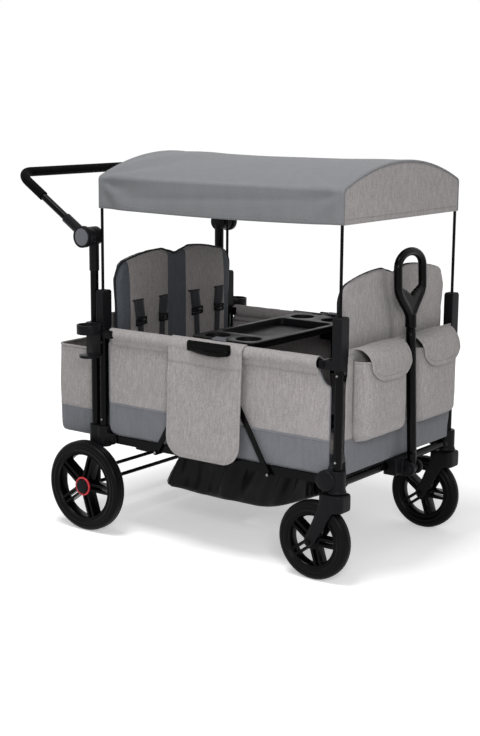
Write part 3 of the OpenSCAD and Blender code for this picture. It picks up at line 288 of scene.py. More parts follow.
def paint(obj, look, chosen):
    """Gives a second material to the chosen faces."""
    obj.data.materials.append(look)
    for face in obj.data.polygons:
        if chosen(face):
            face.material_index = len(obj.data.materials) - 1
    return obj


def rod(name, path, radius, look, ring=False, sides=8):
    """Round cord or bar of this radius in mm along a path."""
    count = len(path)
    aim = []
    for i in range(count):
        ahead = path[(i + 1) % count] if ring or i < count - 1 else path[i]
        behind = path[i - 1] if ring or i else path[i]
        aim.append((ahead - behind).normalized())
    side = aim[0].orthogonal().normalized()
    spots = []
    for spot, way in zip(path, aim):
        side = (side - way * side.dot(way)).normalized()
        other = way.cross(side)
        spots += [spot + (side * cos(tau * k / sides) + other * sin(tau * k / sides)) * radius * MM
                  for k in range(sides)]
    faces = grid(count, sides, ring)
    if not ring:
        faces += [tuple(range(sides))[::-1], tuple((count - 1) * sides + k for k in range(sides))]
    return piece(name, spots, faces, look)


def gather(name, parts):
    """Joins several meshes into one piece."""
    with bpy.context.temp_override(active_object=parts[0], selected_editable_objects=parts):
        bpy.ops.object.join()
    parts[0].name = parts[0].data.name = name
    return parts[0]


def settle(obj, body, slot, *replaced):
    """Hangs a finished piece on its body and hides the CAD nodes it stands for; the slot is not used."""
    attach(obj, body)
    if replaced:
        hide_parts(*replaced)
    return obj


def hang(obj, body, *replaced):
    """Settles a piece of the heather cloth."""
    return settle(obj, body, "heather_cloth", *replaced)


def mirrored(obj, name):
    """The same piece for the other end of the wagon."""
    twin = stand(name, obj.data.copy())
    twin.data.name = name
    for v in twin.data.vertices:
        v.co.x = 2 * FOLD_X - v.co.x
    twin.data.flip_normals()
    return twin


# Sewing: one node tree lays stitches along every seam, another sets rivet heads
def node_tree(name, *sockets):
    tree = bpy.data.node_groups.new(name, "GeometryNodeTree")
    tree.interface.new_socket("Geometry", in_out="INPUT", socket_type="NodeSocketGeometry")
    for label, kind in sockets:
        tree.interface.new_socket(label, in_out="INPUT", socket_type=kind)
    tree.interface.new_socket("Geometry", in_out="OUTPUT", socket_type="NodeSocketGeometry")
    return tree, add(tree, "NodeGroupInput").outputs


def spread(obj, tree, **values):
    """Runs a node tree on a piece with these inputs and keeps the result as its mesh."""
    run = obj.modifiers.new(tree.name, "NODES")
    run.node_group = tree
    for item in tree.interface.items_tree:
        if item.in_out == "INPUT" and item.name in values:
            run[item.identifier] = values[item.name]
    return bake(obj)


def close_tree(tree, copies, look):
    """Ends a node tree: its copies made real, in one material."""
    real = add(tree, "GeometryNodeRealizeInstances", {"Geometry": copies})
    dyed = add(tree, "GeometryNodeSetMaterial", {"Geometry": real, "Material": look})
    add(tree, "NodeGroupOutput", {"Geometry": dyed})


STITCHES, given = node_tree("stitches", ("Pitch", "NodeSocketFloat"), ("Length", "NodeSocketFloat"),
                            ("Width", "NodeSocketFloat"), ("Thread", "NodeSocketMaterial"))
line = add(STITCHES, "GeometryNodeMeshToCurve", {"Mesh": given["Geometry"]})
holes = add(STITCHES, "GeometryNodeCurveToPoints", {"Curve": line, "Length": given["Pitch"]}, mode="LENGTH")
size = add(STITCHES, "ShaderNodeCombineXYZ", {"X": given["Width"], "Y": given["Width"], "Z": given["Length"]})
bead = add(STITCHES, "GeometryNodeMeshUVSphere", {"Segments": 6, "Rings": 4, "Radius": 0.5})
sewn = add(STITCHES, "GeometryNodeInstanceOnPoints", {"Points": holes.outputs["Points"], "Instance": bead,
                                                      "Rotation": holes.outputs["Rotation"], "Scale": size})
close_tree(STITCHES, sewn, given["Thread"])

RIVETS, given = node_tree("rivets", ("Head", "NodeSocketFloat"), ("Metal", "NodeSocketMaterial"))
head = add(RIVETS, "GeometryNodeMeshUVSphere", {"Segments": 16, "Rings": 8, "Radius": given["Head"]})
set_in = add(RIVETS, "GeometryNodeInstanceOnPoints", {"Points": given["Geometry"], "Instance": head})
close_tree(RIVETS, set_in, given["Metal"])


def strewn(name, spots, edges, tree, **values):
    """A piece that a node tree lays on these spots and edges."""
    mesh = bpy.data.meshes.new(name)
    mesh.from_pydata([tuple(p) for p in spots], edges, [])
    return spread(stand(name, mesh), tree, **values)


def sew(name, lines, thread):
    """Stitches about 4 mm long along each line; drawn 1.4 mm wide so that they show at this scale."""
    spots, edges = [], []
    for seam in lines:
        edges += [(len(spots) + i, len(spots) + i + 1) for i in range(len(seam) - 1)]
        spots += seam
    return strewn(name, spots, edges, STITCHES, Pitch=6 * MM, Length=4 * MM, Width=1.4 * MM, Thread=thread)


def rivets(name, places, head, body):
    return settle(strewn(name, places, [], RIVETS, Head=head * MM, Metal=RIVET), body, "black_steel")


# Hard parts: copies of the CAD nodes with their moulded edges softened
SHARP = radians(38)


def cad_copy(node, name, whole_faces=False):
    """A copy of a CAD node as one merged mesh, with each flat face in one piece if asked."""
    def merge(shape):
        bmesh.ops.remove_doubles(shape, verts=shape.verts, dist=1e-5)
        if whole_faces:
            bmesh.ops.dissolve_limit(shape, angle_limit=radians(1), verts=shape.verts, edges=shape.edges)

    return reshape(stand(name, nodes[node].data.copy()), merge)


def eased(name, width, segments=2, look=None):
    """Puts a rounded edge of this width in mm on a CAD node."""
    obj = cad_copy(name, name + "_eased", whole_faces=True)
    modify(obj, "eased edges", "BEVEL", width=width * MM, segments=segments, limit_method="ANGLE", angle_limit=SHARP)
    bake(obj).data.set_sharp_from_angle(angle=SHARP)
    if look:
        dress(obj, look)
    return settle(obj, home[name], finish_of[name], name)


EASED = {"cup_holders": 1.2, "upright_hubs": 3, "handle_hubs": 3, "brake_bar": 1.2}
for name, width in EASED.items():
    eased(name, width)
for name in ("rear_rim_right", "rear_rim_left", "front_rim_right", "front_rim_left"):
    eased(name, 1.2, 2, SPOKE)
eased("tray", 1.5, 3, MOULDED)


def even_mesh(obj, voxel):
    """Meshes a piece anew at voxel mm."""
    modify(obj, "even mesh", "REMESH", mode="VOXEL", voxel_size=voxel * MM)


def rounded(obj, voxel, passes):
    """Gives a solid the rounded edges of a moulding: meshed anew at voxel mm and smoothed in passes."""
    even_mesh(obj, voxel)
    modify(obj, "rounded edges", "SMOOTH", factor=0.5, iterations=passes)
    return bake(obj)


CAST = {"rear_top_brackets": (2, 6), "front_top_brackets": (2, 6), "rear_lower_brackets": (2, 6),
        "caster_housings": (2, 14), "caster_fork_right": (2, 80), "caster_fork_left": (2, 80), "pull_bracket": (2, 8)}
for name, (voxel, passes) in CAST.items():
    settle(rounded(cad_copy(name, name + "_moulded"), voxel, passes), home[name], finish_of[name], name)

# Pull handle: a round bar bent to a loop, with a web below its hole that runs down to the neck and the inner tube
PULL_X, PULL_Z, PULL_LEAN = 480, 275, radians(2.4)
LOOP_Z, LOOP_HALF, LOOP_RISE, LOOP_BAR, NECK_Z, TAPER_Z = 580, 68, 42, 12.2, 430, 524
HOLE_FOOT_Z, HOLE_SIDE_Z = 490, 526


def pull_spot(y, z):
    """Place on the pull handle's middle plane: across, and up its length from the pin, in mm."""
    return at(PULL_X - z * sin(PULL_LEAN), y, PULL_Z + z * cos(PULL_LEAN))


def leg_y(z):
    """Half the distance between the loop's two legs: even below the bend, then closing to the neck."""
    return 7 + (LOOP_HALF - 7) * smooth((z - NECK_Z) / (TAPER_Z - NECK_Z))


leg_line = [(leg_y(z), z) for z in range(NECK_Z, LOOP_Z, 6)]
bend_line = [(LOOP_HALF * cos(radians(a)), LOOP_Z + LOOP_RISE * sin(radians(a)))
             for a in range(0, 181, 6)]
grip = [rod("loop", [pull_spot(y, z) for y, z in leg_line + bend_line] + [pull_spot(-y, z) for y, z in leg_line[::-1]],
            LOOP_BAR, GLOSS, sides=16)]
for z in range(NECK_Z + 6, HOLE_SIDE_Z, 6):
    notch = (leg_y(z) - LOOP_BAR) * smooth((z - HOLE_FOOT_Z) / (HOLE_SIDE_Z - HOLE_FOOT_Z))
    grip += [rod("web", [pull_spot(sy * leg_y(z), z), pull_spot(sy * notch, z)], LOOP_BAR - 4, GLOSS, sides=12)
             for _, sy in SIDES]
grip.append(rod("neck", [pull_spot(0, NECK_Z - 24), pull_spot(0, NECK_Z + 16)], 16.5, GLOSS, sides=24))
grip.append(rod("inner tube", [pull_spot(0, 60), pull_spot(0, NECK_Z)], 9, GLOSS, sides=24))
settle(rounded(gather("pull_handle_loop", grip), 2, 10), "pull_grip", finish_of["pull_handle"], "pull_handle")
settle(rod("pull_tube_sleeve", [pull_spot(0, z) for z in range(42, 403, 20)], 14, GLOSS, sides=32), "pull_tube",
       finish_of["pull_tube"])

# Latches: a flat handle on each side with a finger lip along its lower edge
LATCH_Y, LATCH_ROWS = 343.5, (611, 616, 621, 626)
LATCH_LIP = ((-60, 343, 610), (-25, 350, 606), (15, 356, 604.5), (50, 357, 605.5), (76, 349, 609))
for side, sy in SIDES:
    handle = [rod("plate", [at(-69, sy * LATCH_Y, z), at(78, sy * LATCH_Y, z)], 8.5, SPOKE, sides=16)
              for z in LATCH_ROWS]
    handle.append(rod("lip", [at(x, sy * y, z) for x, y, z in LATCH_LIP], 7.5, SPOKE, sides=16))
    handle.append(rod("neck", [at(0, sy * 327, 609), at(0, sy * 343, 609)], 5, SPOKE, sides=12))
    settle(rounded(gather(f"latch_{side}_handle", handle), 1.5, 6), f"latch_{side}", finish_of[f"latch_{side}"],
           f"latch_{side}")

# Canopy: one sheet over both bows with a heather panel at each end
CANOPY_HALF, CANOPY_END, HEM_Z, BOW_X = 317.2, 431.4, 990, 424
ARCH_Z, ARCH_R, SHOULDER_R = 352.4, 797.2, 15
shoulder_z = ARCH_Z + sqrt((ARCH_R - SHOULDER_R) ** 2 - (CANOPY_HALF - SHOULDER_R) ** 2)
shoulder_a = atan2(shoulder_z - ARCH_Z, CANOPY_HALF - SHOULDER_R)


def canopy_outline():
    """Points and outward directions across the canopy, from its right hem over the arch to its left hem."""
    half = [(CANOPY_HALF, HEM_Z + (shoulder_z - HEM_Z) * i / 12, 1, 0) for i in range(12)]
    for i in range(9):
        a = shoulder_a * i / 8
        half.append((CANOPY_HALF - SHOULDER_R + SHOULDER_R * cos(a), shoulder_z + SHOULDER_R * sin(a),
                     cos(a), sin(a)))
    for i in range(1, 25):
        a = shoulder_a + (pi / 2 - shoulder_a) * i / 24
        half.append((ARCH_R * cos(a), ARCH_Z + ARCH_R * sin(a), cos(a), sin(a)))
    return [(-y, z, -ny, nz) for y, z, ny, nz in half[:-1]] + half[::-1]


canopy_line = canopy_outline()
END_ROUND = 6
canopy_end = [(CANOPY_END - END_ROUND + END_ROUND * sin(a), END_ROUND * (1 - cos(a)))
              for a in (radians(15 * k) for k in range(7))]
canopy_run = ([(-x, tuck) for x, tuck in canopy_end[::-1]]
              + [((CANOPY_END - END_ROUND) * (i / 32 - 1), 0) for i in range(1, 64)] + canopy_end)


def canopy_fold(x, z, y):
    """Creases that spread over the cloth from the corners of the bows, in mm, and die out at the bows."""
    total = 0
    for corner, depth in ((-BOW_X, 8.0), (BOW_X, 4.0)):
        along = x - corner
        across = (z - shoulder_z) if abs(y) > CANOPY_HALF - 30 else (CANOPY_HALF - abs(y))
        far = hypot(along, across)
        total += depth * sin(7 * atan2(across, abs(along) + 1)) * exp(-far / 190) * smooth(far / 60)
    return total * smooth(abs(abs(x) - BOW_X) / 30)


def canopy_point(u, v):
    y, z, ny, nz = canopy_line[round(u * (len(canopy_line) - 1))]
    x, tuck = canopy_run[round(v * (len(canopy_run) - 1))]
    slack = max(0.0, 1 - (x / BOW_X) ** 2)
    skirt = 1 - smooth((z - HEM_Z) / 95)
    crease = 3.0 * exp(-((z - 1040 - 18 * x / BOW_X) / 8) ** 2) * slack if abs(y) > CANOPY_HALF - 5 else 0
    ripple = 1.2 * wavy(x / 140, y / 160, z / 90) * smooth(abs(abs(x) - BOW_X) / 40)
    push = canopy_fold(x, z, y) + ripple - tuck - crease - slack * (6 * nz ** 2 + 2 * (1 - nz) * (1 - skirt))
    return at(x, y + ny * push, z + nz * push - 7 * slack * skirt)


def canopy_top(y, inset):
    """Height of the arch's edge, drawn in from the cover by inset."""
    a = abs(y)
    flat = CANOPY_HALF - SHOULDER_R
    if a < (ARCH_R - inset) * cos(shoulder_a):
        return ARCH_Z + sqrt((ARCH_R - inset) ** 2 - a * a)
    return shoulder_z + sqrt(max(0.0, (SHOULDER_R - inset) ** 2 - (a - flat) ** 2))


def gathers(obj):
    """Gives the piece a mesh of its own."""
    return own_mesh(obj)


roof = settle(cloth("canopy_roof", canopy_point, len(canopy_line) - 1, len(canopy_run) - 1, CANOPY), "rear_frame",
              "canopy_cloth", "canopy_cover")
gathers(roof)
for end, sx in ENDS:
    def end_point(u, v):
        y = (2 * u - 1) * (CANOPY_HALF - 4)
        top = canopy_top(y, 4.2)
        z = HEM_Z - 1 + (top - HEM_Z + 1) * v
        swell = 0.8 * wavy(y / 90, z / 60, sx)
        return at(sx * (CANOPY_END - 1.5 + swell * smooth((1 - v) * 6)), y, z)

    panel = hang(cloth(f"canopy_{end}_panel", end_point, 64, 14, HEATHER), f"{end}_frame", "canopy_cover")
    edge = [at(sx * (CANOPY_END - 1.5), y - ny * 3, z - nz * 3) for y, z, ny, nz in canopy_line]
    settle(rod(f"canopy_{end}_piping", edge, 2.6, CANOPY), f"{end}_frame", "canopy_cloth", "canopy_cover")
hem = [canopy_run.index(spot) / (len(canopy_run) - 1) for spot in canopy_run if abs(spot[0]) < CANOPY_END - 8]
hem_lines = [[canopy_point(u, v) + at(0, out * 1.3, 14) - at(0, 0, 0) for v in hem] for u, out in ((0, -1), (1, 1))]
hem_lines += [[at(sx * (CANOPY_END + 0.4), y, HEM_Z + 13) for y in range(-300, 301, 20)] for sx in (-1, 1)]
gathers(settle(sew("canopy_stitching", hem_lines, THREAD), "rear_frame", "canopy_cloth", "canopy_cover"))

# Sides: heather walls hung from sleeves on the top rails, slate bands along the bottom rails
WALL_Y, WALL_END, SLEEVE_IN, BAND_IN = 311.6, 399, 76, 30
SLEEVE_ENDS = {"rear": 390, "front": 360}
RAIL_Y, TOP_RAIL_Z, SLEEVE_R = 310, 613, 17.7
WALL_TOP_Z, BAND_TOP_Z, BAND_FOOT_Z, BAND_CORNER = 597, 402, 303, 30
SLEEVE_SEAM_Y, SLEEVE_SEAM_Z, BAND_SEAM_Z = 315.2, 582, 396
# Outline of a sleeve, from its outer edge round the rail to its inner edge
SLEEVE_LINE = [(313.9, 578), (314.1, 586), (313.6, 592)]
SLEEVE_LINE += [(RAIL_Y + SLEEVE_R * cos(radians(a)), TOP_RAIL_Z + SLEEVE_R * sin(radians(a)))
                for a in range(-70, 251, 16)]
SLEEVE_LINE += [(306.4, 592), (306.8, 586), (307.0, 578)]


def wall_top(reach, sleeve_end):
    """Top edge of a wall at a distance from the fold: level under the sleeve, then scooped down to the post."""
    past = max(0.0, reach - sleeve_end)
    return WALL_TOP_Z - 1.15 * (WALL_END - sleeve_end) * (1 - (1 - past / (WALL_END - sleeve_end)) ** 2)


def wall_y(reach, z, seed):
    """Distance of the cloth from the wagon's middle, with the slack of a hung wall."""
    slack = sin(pi * min(1, max(0, reach / WALL_END))) ** 0.6
    belly = sin(pi * min(1, max(0, (z - 300) / 290)))
    tug = 1.6 * exp(-((z - 575) / 22) ** 2) * sin(reach / 8.5)
    return WALL_Y + 2.5 * slack * belly + 1.8 * wavy(reach / 75, z / 95, seed) + 0.5 * tug


def folds_with(obj):
    """Gives the cloth a mesh of its own."""
    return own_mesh(obj)


for end, sx in ENDS:
    for side, sy in SIDES:
        seed = sx * 3 + sy
        sleeve_end = SLEEVE_ENDS[end]

        def wall_point(u, v):
            reach = 8 + (WALL_END - 8) * u
            z = BAND_TOP_Z - 4 + (wall_top(reach, sleeve_end) - BAND_TOP_Z + 4) * v
            return at(sx * reach, sy * wall_y(reach, z, seed), z)

        def band_point(u, v):
            reach = BAND_IN + (WALL_END - BAND_IN) * u
            over = max(0.0, reach - WALL_END + BAND_CORNER)
            foot = BAND_FOOT_Z + BAND_CORNER - sqrt(BAND_CORNER ** 2 - over ** 2)
            z = foot + (BAND_TOP_Z - foot) * v
            return at(sx * reach, sy * (wall_y(reach, z, seed) + 1.2), z)

        def sleeve_point(u, v):
            reach = SLEEVE_IN + (sleeve_end - SLEEVE_IN) * u
            y, z = SLEEVE_LINE[round(v * (len(SLEEVE_LINE) - 1))]
            pull = 0.8 * wavy(reach / 40, v * 5, seed + 9) * smooth(min(v, 1 - v) * 6)
            return at(sx * reach, sy * (y + pull), z + pull)

        rails, low_rails, panels = f"{end}_top_rails", f"{end}_bottom_rails", f"{end}_side_panels"
        wall = hang(cloth(f"{end}_{side}_wall", wall_point, 60, 30, HEATHER), rails, panels)
        folds_with(wall)
        band = hang(cloth(f"{end}_{side}_band", band_point, 60, 14, SLATE), low_rails, panels)
        folds_with(band)
        sleeve = hang(cloth(f"{end}_{side}_sleeve", sleeve_point, 54, len(SLEEVE_LINE) - 1, HEATHER), rails, panels)
        seam = [[at(sx * r, sy * SLEEVE_SEAM_Y, SLEEVE_SEAM_Z) for r in range(SLEEVE_IN + 2, sleeve_end - 1, 12)]]
        hang(sew(f"{end}_{side}_sleeve_stitches", seam, THREAD), rails)
        edge = [at(sx * r, sy * (wall_y(r, wall_top(r, sleeve_end), seed) + 0.5), wall_top(r, sleeve_end))
                for r in range(sleeve_end, WALL_END, 3)]
        edge += [at(sx * WALL_END, sy * (wall_y(WALL_END, z, seed) + 0.5), z)
                 for z in range(int(wall_top(WALL_END, sleeve_end)) - 4, 399, -10)]
        binding = hang(rod(f"{end}_{side}_binding", edge, 2.2, SLATE), rails, panels)
        folds_with(binding)
        seam = [[at(sx * r, sy * (wall_y(r, BAND_SEAM_Z, seed) + 2.6), BAND_SEAM_Z)
                 for r in range(BAND_IN + 2, WALL_END, 12)]]
        stitches = hang(sew(f"{end}_{side}_band_stitches", seam, DARK_THREAD), low_rails)
        folds_with(stitches)

# Side flaps: a tongue that hangs over each middle hinge, open at the hinge for the latch
FLAP_REAR, FLAP_FRONT, FLAP_FOOT_Z, FLAP_CORNER, FLAP_BEND_Z = -151, 115, 285, 60, 604.6
FLAP_Y, FLAP_TILT, GROOVE_DOWN, CURL_LENGTH, FLAP_HEM = 333.2, radians(2.4), 42.5, 46, 9
LATCH_SLOT_HALF, LATCH_SLOT_LOW, LATCH_SLOT_HIGH, LATCH_SLOT_Y = 12, 600, 624, 326


def flap_spot(x, down):
    """Place on the flap, a distance down its length from the bend at the rail; up the curl is negative."""
    if down >= 0:
        z = FLAP_BEND_Z - down
        wave = 1.4 * wavy(x / 80, z / 110, 4.0) * smooth(down / 60)
        groove = 1.5 * exp(-((down - GROOVE_DOWN) / 3) ** 2)
        return FLAP_Y + down * tan(FLAP_TILT) + wave - groove, z
    a = radians(-20) - down / 22.5
    r = 24.6 - 4 * smooth((degrees(a) + 20) / 100)
    return RAIL_Y + r * cos(a), TOP_RAIL_Z + r * sin(a)


def flap_foot(x):
    over = max(0.0, FLAP_CORNER - min(x - FLAP_REAR, FLAP_FRONT - x))
    return FLAP_FOOT_Z + FLAP_CORNER - sqrt(FLAP_CORNER ** 2 - over ** 2)


def cut_latch_slot(shape):
    """Opens the flap where the latch's neck comes through."""
    middles = {f: f.calc_center_median() for f in shape.faces}
    cut = [f for f, p in middles.items() if abs(p.x - FOLD_X) < LATCH_SLOT_HALF * MM
           and LATCH_SLOT_LOW * MM < p.z < LATCH_SLOT_HIGH * MM and abs(p.y) > LATCH_SLOT_Y * MM]
    bmesh.ops.delete(shape, geom=cut, context="FACES")


for side, sy in SIDES:
    def flap_point(u, v):
        spread_u = 0.5 - 0.5 * cos(pi * u)
        x = FLAP_REAR + (FLAP_FRONT - FLAP_REAR) * (0.35 * u + 0.65 * spread_u)
        length = FLAP_BEND_Z - flap_foot(x)
        y, z = flap_spot(x, length - v * (length + CURL_LENGTH))
        return at(x, sy * y, z)

    flap = cloth(f"{side}_flap", flap_point, 72, 116, HEATHER, thick=0)
    reshape(flap, cut_latch_slot)
    hang(thicken(flap, 3), "centre_top", "side_flaps")
    rows = [[(x, d) for x in range(FLAP_REAR + 4, FLAP_FRONT - 3, 12)] for d in (GROOVE_DOWN - 2.5, GROOVE_DOWN + 2.5)]
    border = [(FLAP_REAR + FLAP_HEM, d) for d in range(0, 262, 12)]
    bend = FLAP_CORNER - FLAP_HEM
    for x, start in ((FLAP_REAR + FLAP_CORNER, 180), (FLAP_FRONT - FLAP_CORNER, 270)):
        border += [(x + bend * cos(radians(a)),
                    FLAP_BEND_Z - FLAP_FOOT_Z - FLAP_CORNER - bend * sin(radians(a)))
                   for a in range(start, start + 91, 10)]
    border += [(FLAP_FRONT - FLAP_HEM, d) for d in range(252, -1, -12)]
    seams = [[at(x, sy * (flap_spot(x, d)[0] + 1.7), flap_spot(x, d)[1]) for x, d in seam] for seam in rows + [border]]
    hang(sew(f"{side}_flap_stitches", seams, THREAD), "centre_top")


def loop(u, x0, x1, half_y, r):
    """Place and outward direction at share u of the way round a rounded rectangle."""
    runs = (2 * (half_y - r), x1 - x0 - 2 * r)
    starts = ((x1, r - half_y), (x1 - r, half_y), (x0, half_y - r), (x0 + r, -half_y))
    bends = ((x1 - r, half_y - r), (x0 + r, half_y - r), (x0 + r, r - half_y), (x1 - r, r - half_y))
    turn = pi / 2 * r
    d = (u % 1) * 2 * (sum(runs) + 2 * turn)
    for k in range(4):
        a = pi / 2 * k
        if d <= runs[k % 2] + 1e-9:
            return (starts[k][0] - sin(a) * d, starts[k][1] + cos(a) * d, cos(a), sin(a))
        d -= runs[k % 2]
        if d <= turn + 1e-9:
            b = a + d / r
            return bends[k][0] + r * cos(b), bends[k][1] + r * sin(b), cos(b), sin(b)
        d -= turn
    return x1, r - half_y, 1, 0


# Footwell: a black bag between the seats, hung by a hem on the bottom rails
WELL_HEM_Z, WELL_FLOOR_Z, WELL_REAR, WELL_FRONT, WELL_SIDE, WELL_BEND = 299, 129, -284, 292, 210, 36
WELL_RISE = [0, 0, 0.004, 0.03, 0.09] + [0.09 + 0.91 * i / 16 for i in range(1, 17)]
WELL_INSET = [150, 70, 26, 8, 0] + [0] * 16


def well_foot(x):
    """Height of the bag's floor: lowest under the feet, rising in a slope to the front."""
    return WELL_FLOOR_Z + 84 * smooth((x - 70) / 300) + 4 * smooth((-x - 120) / 120)


def well_point(u, v):
    k = round(v * (len(WELL_RISE) + 1))
    rise = WELL_RISE[min(k, len(WELL_RISE) - 1)]
    inset = WELL_INSET[min(k, len(WELL_INSET) - 1)]
    rear, front = WELL_REAR + 88 * rise, WELL_FRONT + 6 * rise
    half = WELL_SIDE - inset + 4 * sin(pi * rise)
    x, y, nx, ny = loop(u, rear + inset, front - inset, half, WELL_BEND)
    low = well_foot(x)
    z = low + (WELL_HEM_Z - low) * rise
    if k >= len(WELL_RISE):
        spread_out = (10, 75)[k - len(WELL_RISE)]
        return at(x, y + ny * spread_out, WELL_HEM_Z + 0.6)
    slack = sin(pi * min(1.0, rise * 1.06)) ** 0.7
    way = (x * ny * ny - 0.35 * z) / 84 + y * nx * nx / 84
    folds = wavy(way, z / 210, ny * 2) + 0.45 * wavy(way * 2.3, z / 160, 7 + ny)
    drape = (30 * folds - 5) * slack
    return at(x + nx * drape, y + ny * drape, z)


well = settle(cloth("footwell_bag", well_point, 420, len(WELL_RISE) + 1, BLACK_CLOTH, ring=True), "centre_bottom",
              "black_cloth", "footwell")
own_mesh(well)

# Rear basket: heather above a slate foot, with a rolled hem
BASKET_REAR, BASKET_FRONT, BASKET_HALF, BASKET_BEND = -640, -464.8, 284.6, 30
BASKET_BRIM_Z, BASKET_SLATE_Z, BASKET_SEAM_OUT = 553, 360, 4.5
BASKET_ROWS = [(80, 278.5), (40, 277.5), (12, 277.8), (5, 281), (1.5, 288), (0, 300)]
BASKET_ROWS += [(0, z) for z in (315, 330, 345, 358, 362, 380, 400, 425, 450, 475, 500, 525, 545, BASKET_BRIM_Z)]


def basket_point(u, v):
    inset, z = BASKET_ROWS[round(v * (len(BASKET_ROWS) - 1))]
    x, y, nx, ny = loop(u, BASKET_REAR + inset, BASKET_FRONT - inset, BASKET_HALF - inset, max(4, BASKET_BEND - inset))
    belly = sin(pi * min(1, max(0, (z - 280) / 270)))
    swell = (3.0 * belly + 2.0 * wavy(x / 70, y / 70, z / 80) * belly) if nx < 0.9 else -2 * belly
    return at(x + nx * swell, y + ny * swell, z)


basket = cloth("rear_basket_cloth", basket_point, 220, len(BASKET_ROWS) - 1, HEATHER, ring=True)
paint(basket, SLATE, lambda face: face.center.z < BASKET_SLATE_Z * MM)
hang(basket, "rear_frame", "rear_basket")
brim = [at(*loop(i / 160, BASKET_REAR, BASKET_FRONT, BASKET_HALF, BASKET_BEND)[:2], BASKET_BRIM_Z)
        for i in range(160)]
hang(rod("rear_basket_hem", brim, 3.6, HEATHER, ring=True), "rear_frame", "rear_basket")


def basket_seam(z):
    """Line round the outside of the basket at this height."""
    return [at(*loop(i / 160, BASKET_REAR - BASKET_SEAM_OUT, BASKET_FRONT, BASKET_HALF + BASKET_SEAM_OUT,
                     BASKET_BEND + BASKET_SEAM_OUT)[:2], z) for i in range(160)]


seams = [basket_seam(538), basket_seam(366)]
hang(sew("rear_basket_stitches", seams, THREAD), "rear_frame")

# End panels: heather over a slate foot, behind the front pockets and the rear basket
PANEL_X, PANEL_HALF, PANEL_FOOT_Z, PANEL_RISE = 435.2, 285.5, 306, {"rear": 360, "front": 346}
for end, sx in ENDS:
    def panel_point(u, v):
        z = PANEL_FOOT_Z + PANEL_RISE[end] * v
        half = PANEL_HALF + 8 * smooth((z - 335) / 40) * smooth((590 - z) / 40)
        y = (2 * u - 1) * half
        slack = 1.5 * wavy(y / 80, z / 80, sx * 5) + 2 * sin(pi * u) * sin(pi * v)
        return at(sx * (PANEL_X + max(-0.6, slack)), y, z)

    panel = cloth(f"{end}_end_cloth", panel_point, 72, 60, HEATHER)
    paint(panel, SLATE, lambda face: face.center.z < BAND_TOP_Z * MM)
    hang(panel, f"{end}_frame", f"{end}_end_panel")
    rim = [panel_point(i / 40, 1) for i in range(41)]
    hang(rod(f"{end}_end_hem", rim, 3, HEATHER), f"{end}_frame", f"{end}_end_panel")
    seams = [[panel_point(i / 50, v) + at(sx * 1.6, 0, 0) - at(0, 0, 0) for i in range(51)] for v in (0.96, 0.277)]
    hang(sew(f"{end}_end_stitches", seams, THREAD), f"{end}_frame")

# Front pockets: bulging pouches, open at the top under a tongue that is sewn to the panel
POCKET_X, POCKET_DEEP, POCKET_MID, POCKET_HALF = 437, 48, 145, 114
POCKET_FOOT_Z, POCKET_TOP_Z, TONGUE_MID, TONGUE_HALF = 390, 616, 142, 102


def pouch_spot(u, v):
    """Place on a pouch: u across from -1 to 1, v up from the foot to the mouth; depth, offset and height."""
    a = abs(u)
    z = POCKET_FOOT_Z + (POCKET_TOP_Z - POCKET_FOOT_Z) * v
    foot = min(1.0, v / 0.14)
    low = (1 - (1 - foot) ** 2.2) ** (1 / 2.2)
    deep = POCKET_DEEP * (1 - a ** 7) ** (1 / 2.4) * low
    belly = 5 * sin(pi * v) * (1 - a ** 2)
    across = u * (POCKET_HALF - 16 * (1 - foot) ** 2.2)
    return POCKET_X + deep + belly * low, across, z + 8 * (1 - low) * (1 - a ** 4)


TONGUE_LINE = [(437.2, 657), (450, 657.5), (463, 654), (475, 646), (485.5, 635), (491.5, 622), (494.6, 608), (496, 593),
               (496.8, 577), (497.2, 561)]


def tongue_spot(u, v):
    """Place on a tongue: u across from -1 to 1, v from the panel to the tip."""
    reach = v * (1 - 0.24 * abs(u) ** 4)
    x, z = part_way(TONGUE_LINE, reach)
    half = TONGUE_HALF + 11 * (1 - smooth(reach / 0.5))
    droop = 7 * abs(u) ** 3 * smooth(reach / 0.4) * (1 - 0.5 * reach)
    return x - droop, u * half, z - 5 * abs(u) ** 2 * (1 - reach)


for side, sy in SIDES:
    def pouch_point(u, v):
        x, y, z = pouch_spot(sin(pi * (u - 0.5)), v)
        wrinkle = 1.5 * wavy(y / 40, z / 45, sy * 7) * (1 - abs(2 * u - 1) ** 4)
        return at(x + wrinkle, sy * (POCKET_MID + y), z)

    def tongue_point(u, v):
        x, y, z = tongue_spot(2 * u - 1, v)
        return at(x, sy * (TONGUE_MID + y), z)

    pouch = hang(cloth(f"{side}_pocket", pouch_point, 56, 40, HEATHER, 2.4), "front_frame", "front_pockets")
    tongue = hang(cloth(f"{side}_pocket_tongue", tongue_point, 40, 40, HEATHER, 2.6), "front_frame",
                  "front_pockets")
    border = ([tongue_point(0, i / 30) for i in range(31)] + [tongue_point(i / 40, 1) for i in range(1, 41)]
              + [tongue_point(1, 1 - i / 30) for i in range(1, 31)])
    hang(rod(f"{side}_tongue_binding", border, 2.2, HEATHER), "front_frame", "front_pockets")
    mouth = [pouch_point(i / 56, 1) for i in range(57)]
    hang(rod(f"{side}_pocket_hem", mouth, 2.6, HEATHER), "front_frame", "front_pockets")
    shares = ([(-0.9, 0.45 + i / 40) for i in range(19)] + [(i / 10, 0.92) for i in range(-9, 10)]
              + [(0.9, 0.9 - i / 40) for i in range(19)])
    inner = [at(x + 2.2, sy * (TONGUE_MID + y), z) for x, y, z in (tongue_spot(u, v) for u, v in shares)]
    hang(sew(f"{side}_tongue_stitches", [inner], THREAD), "front_frame")

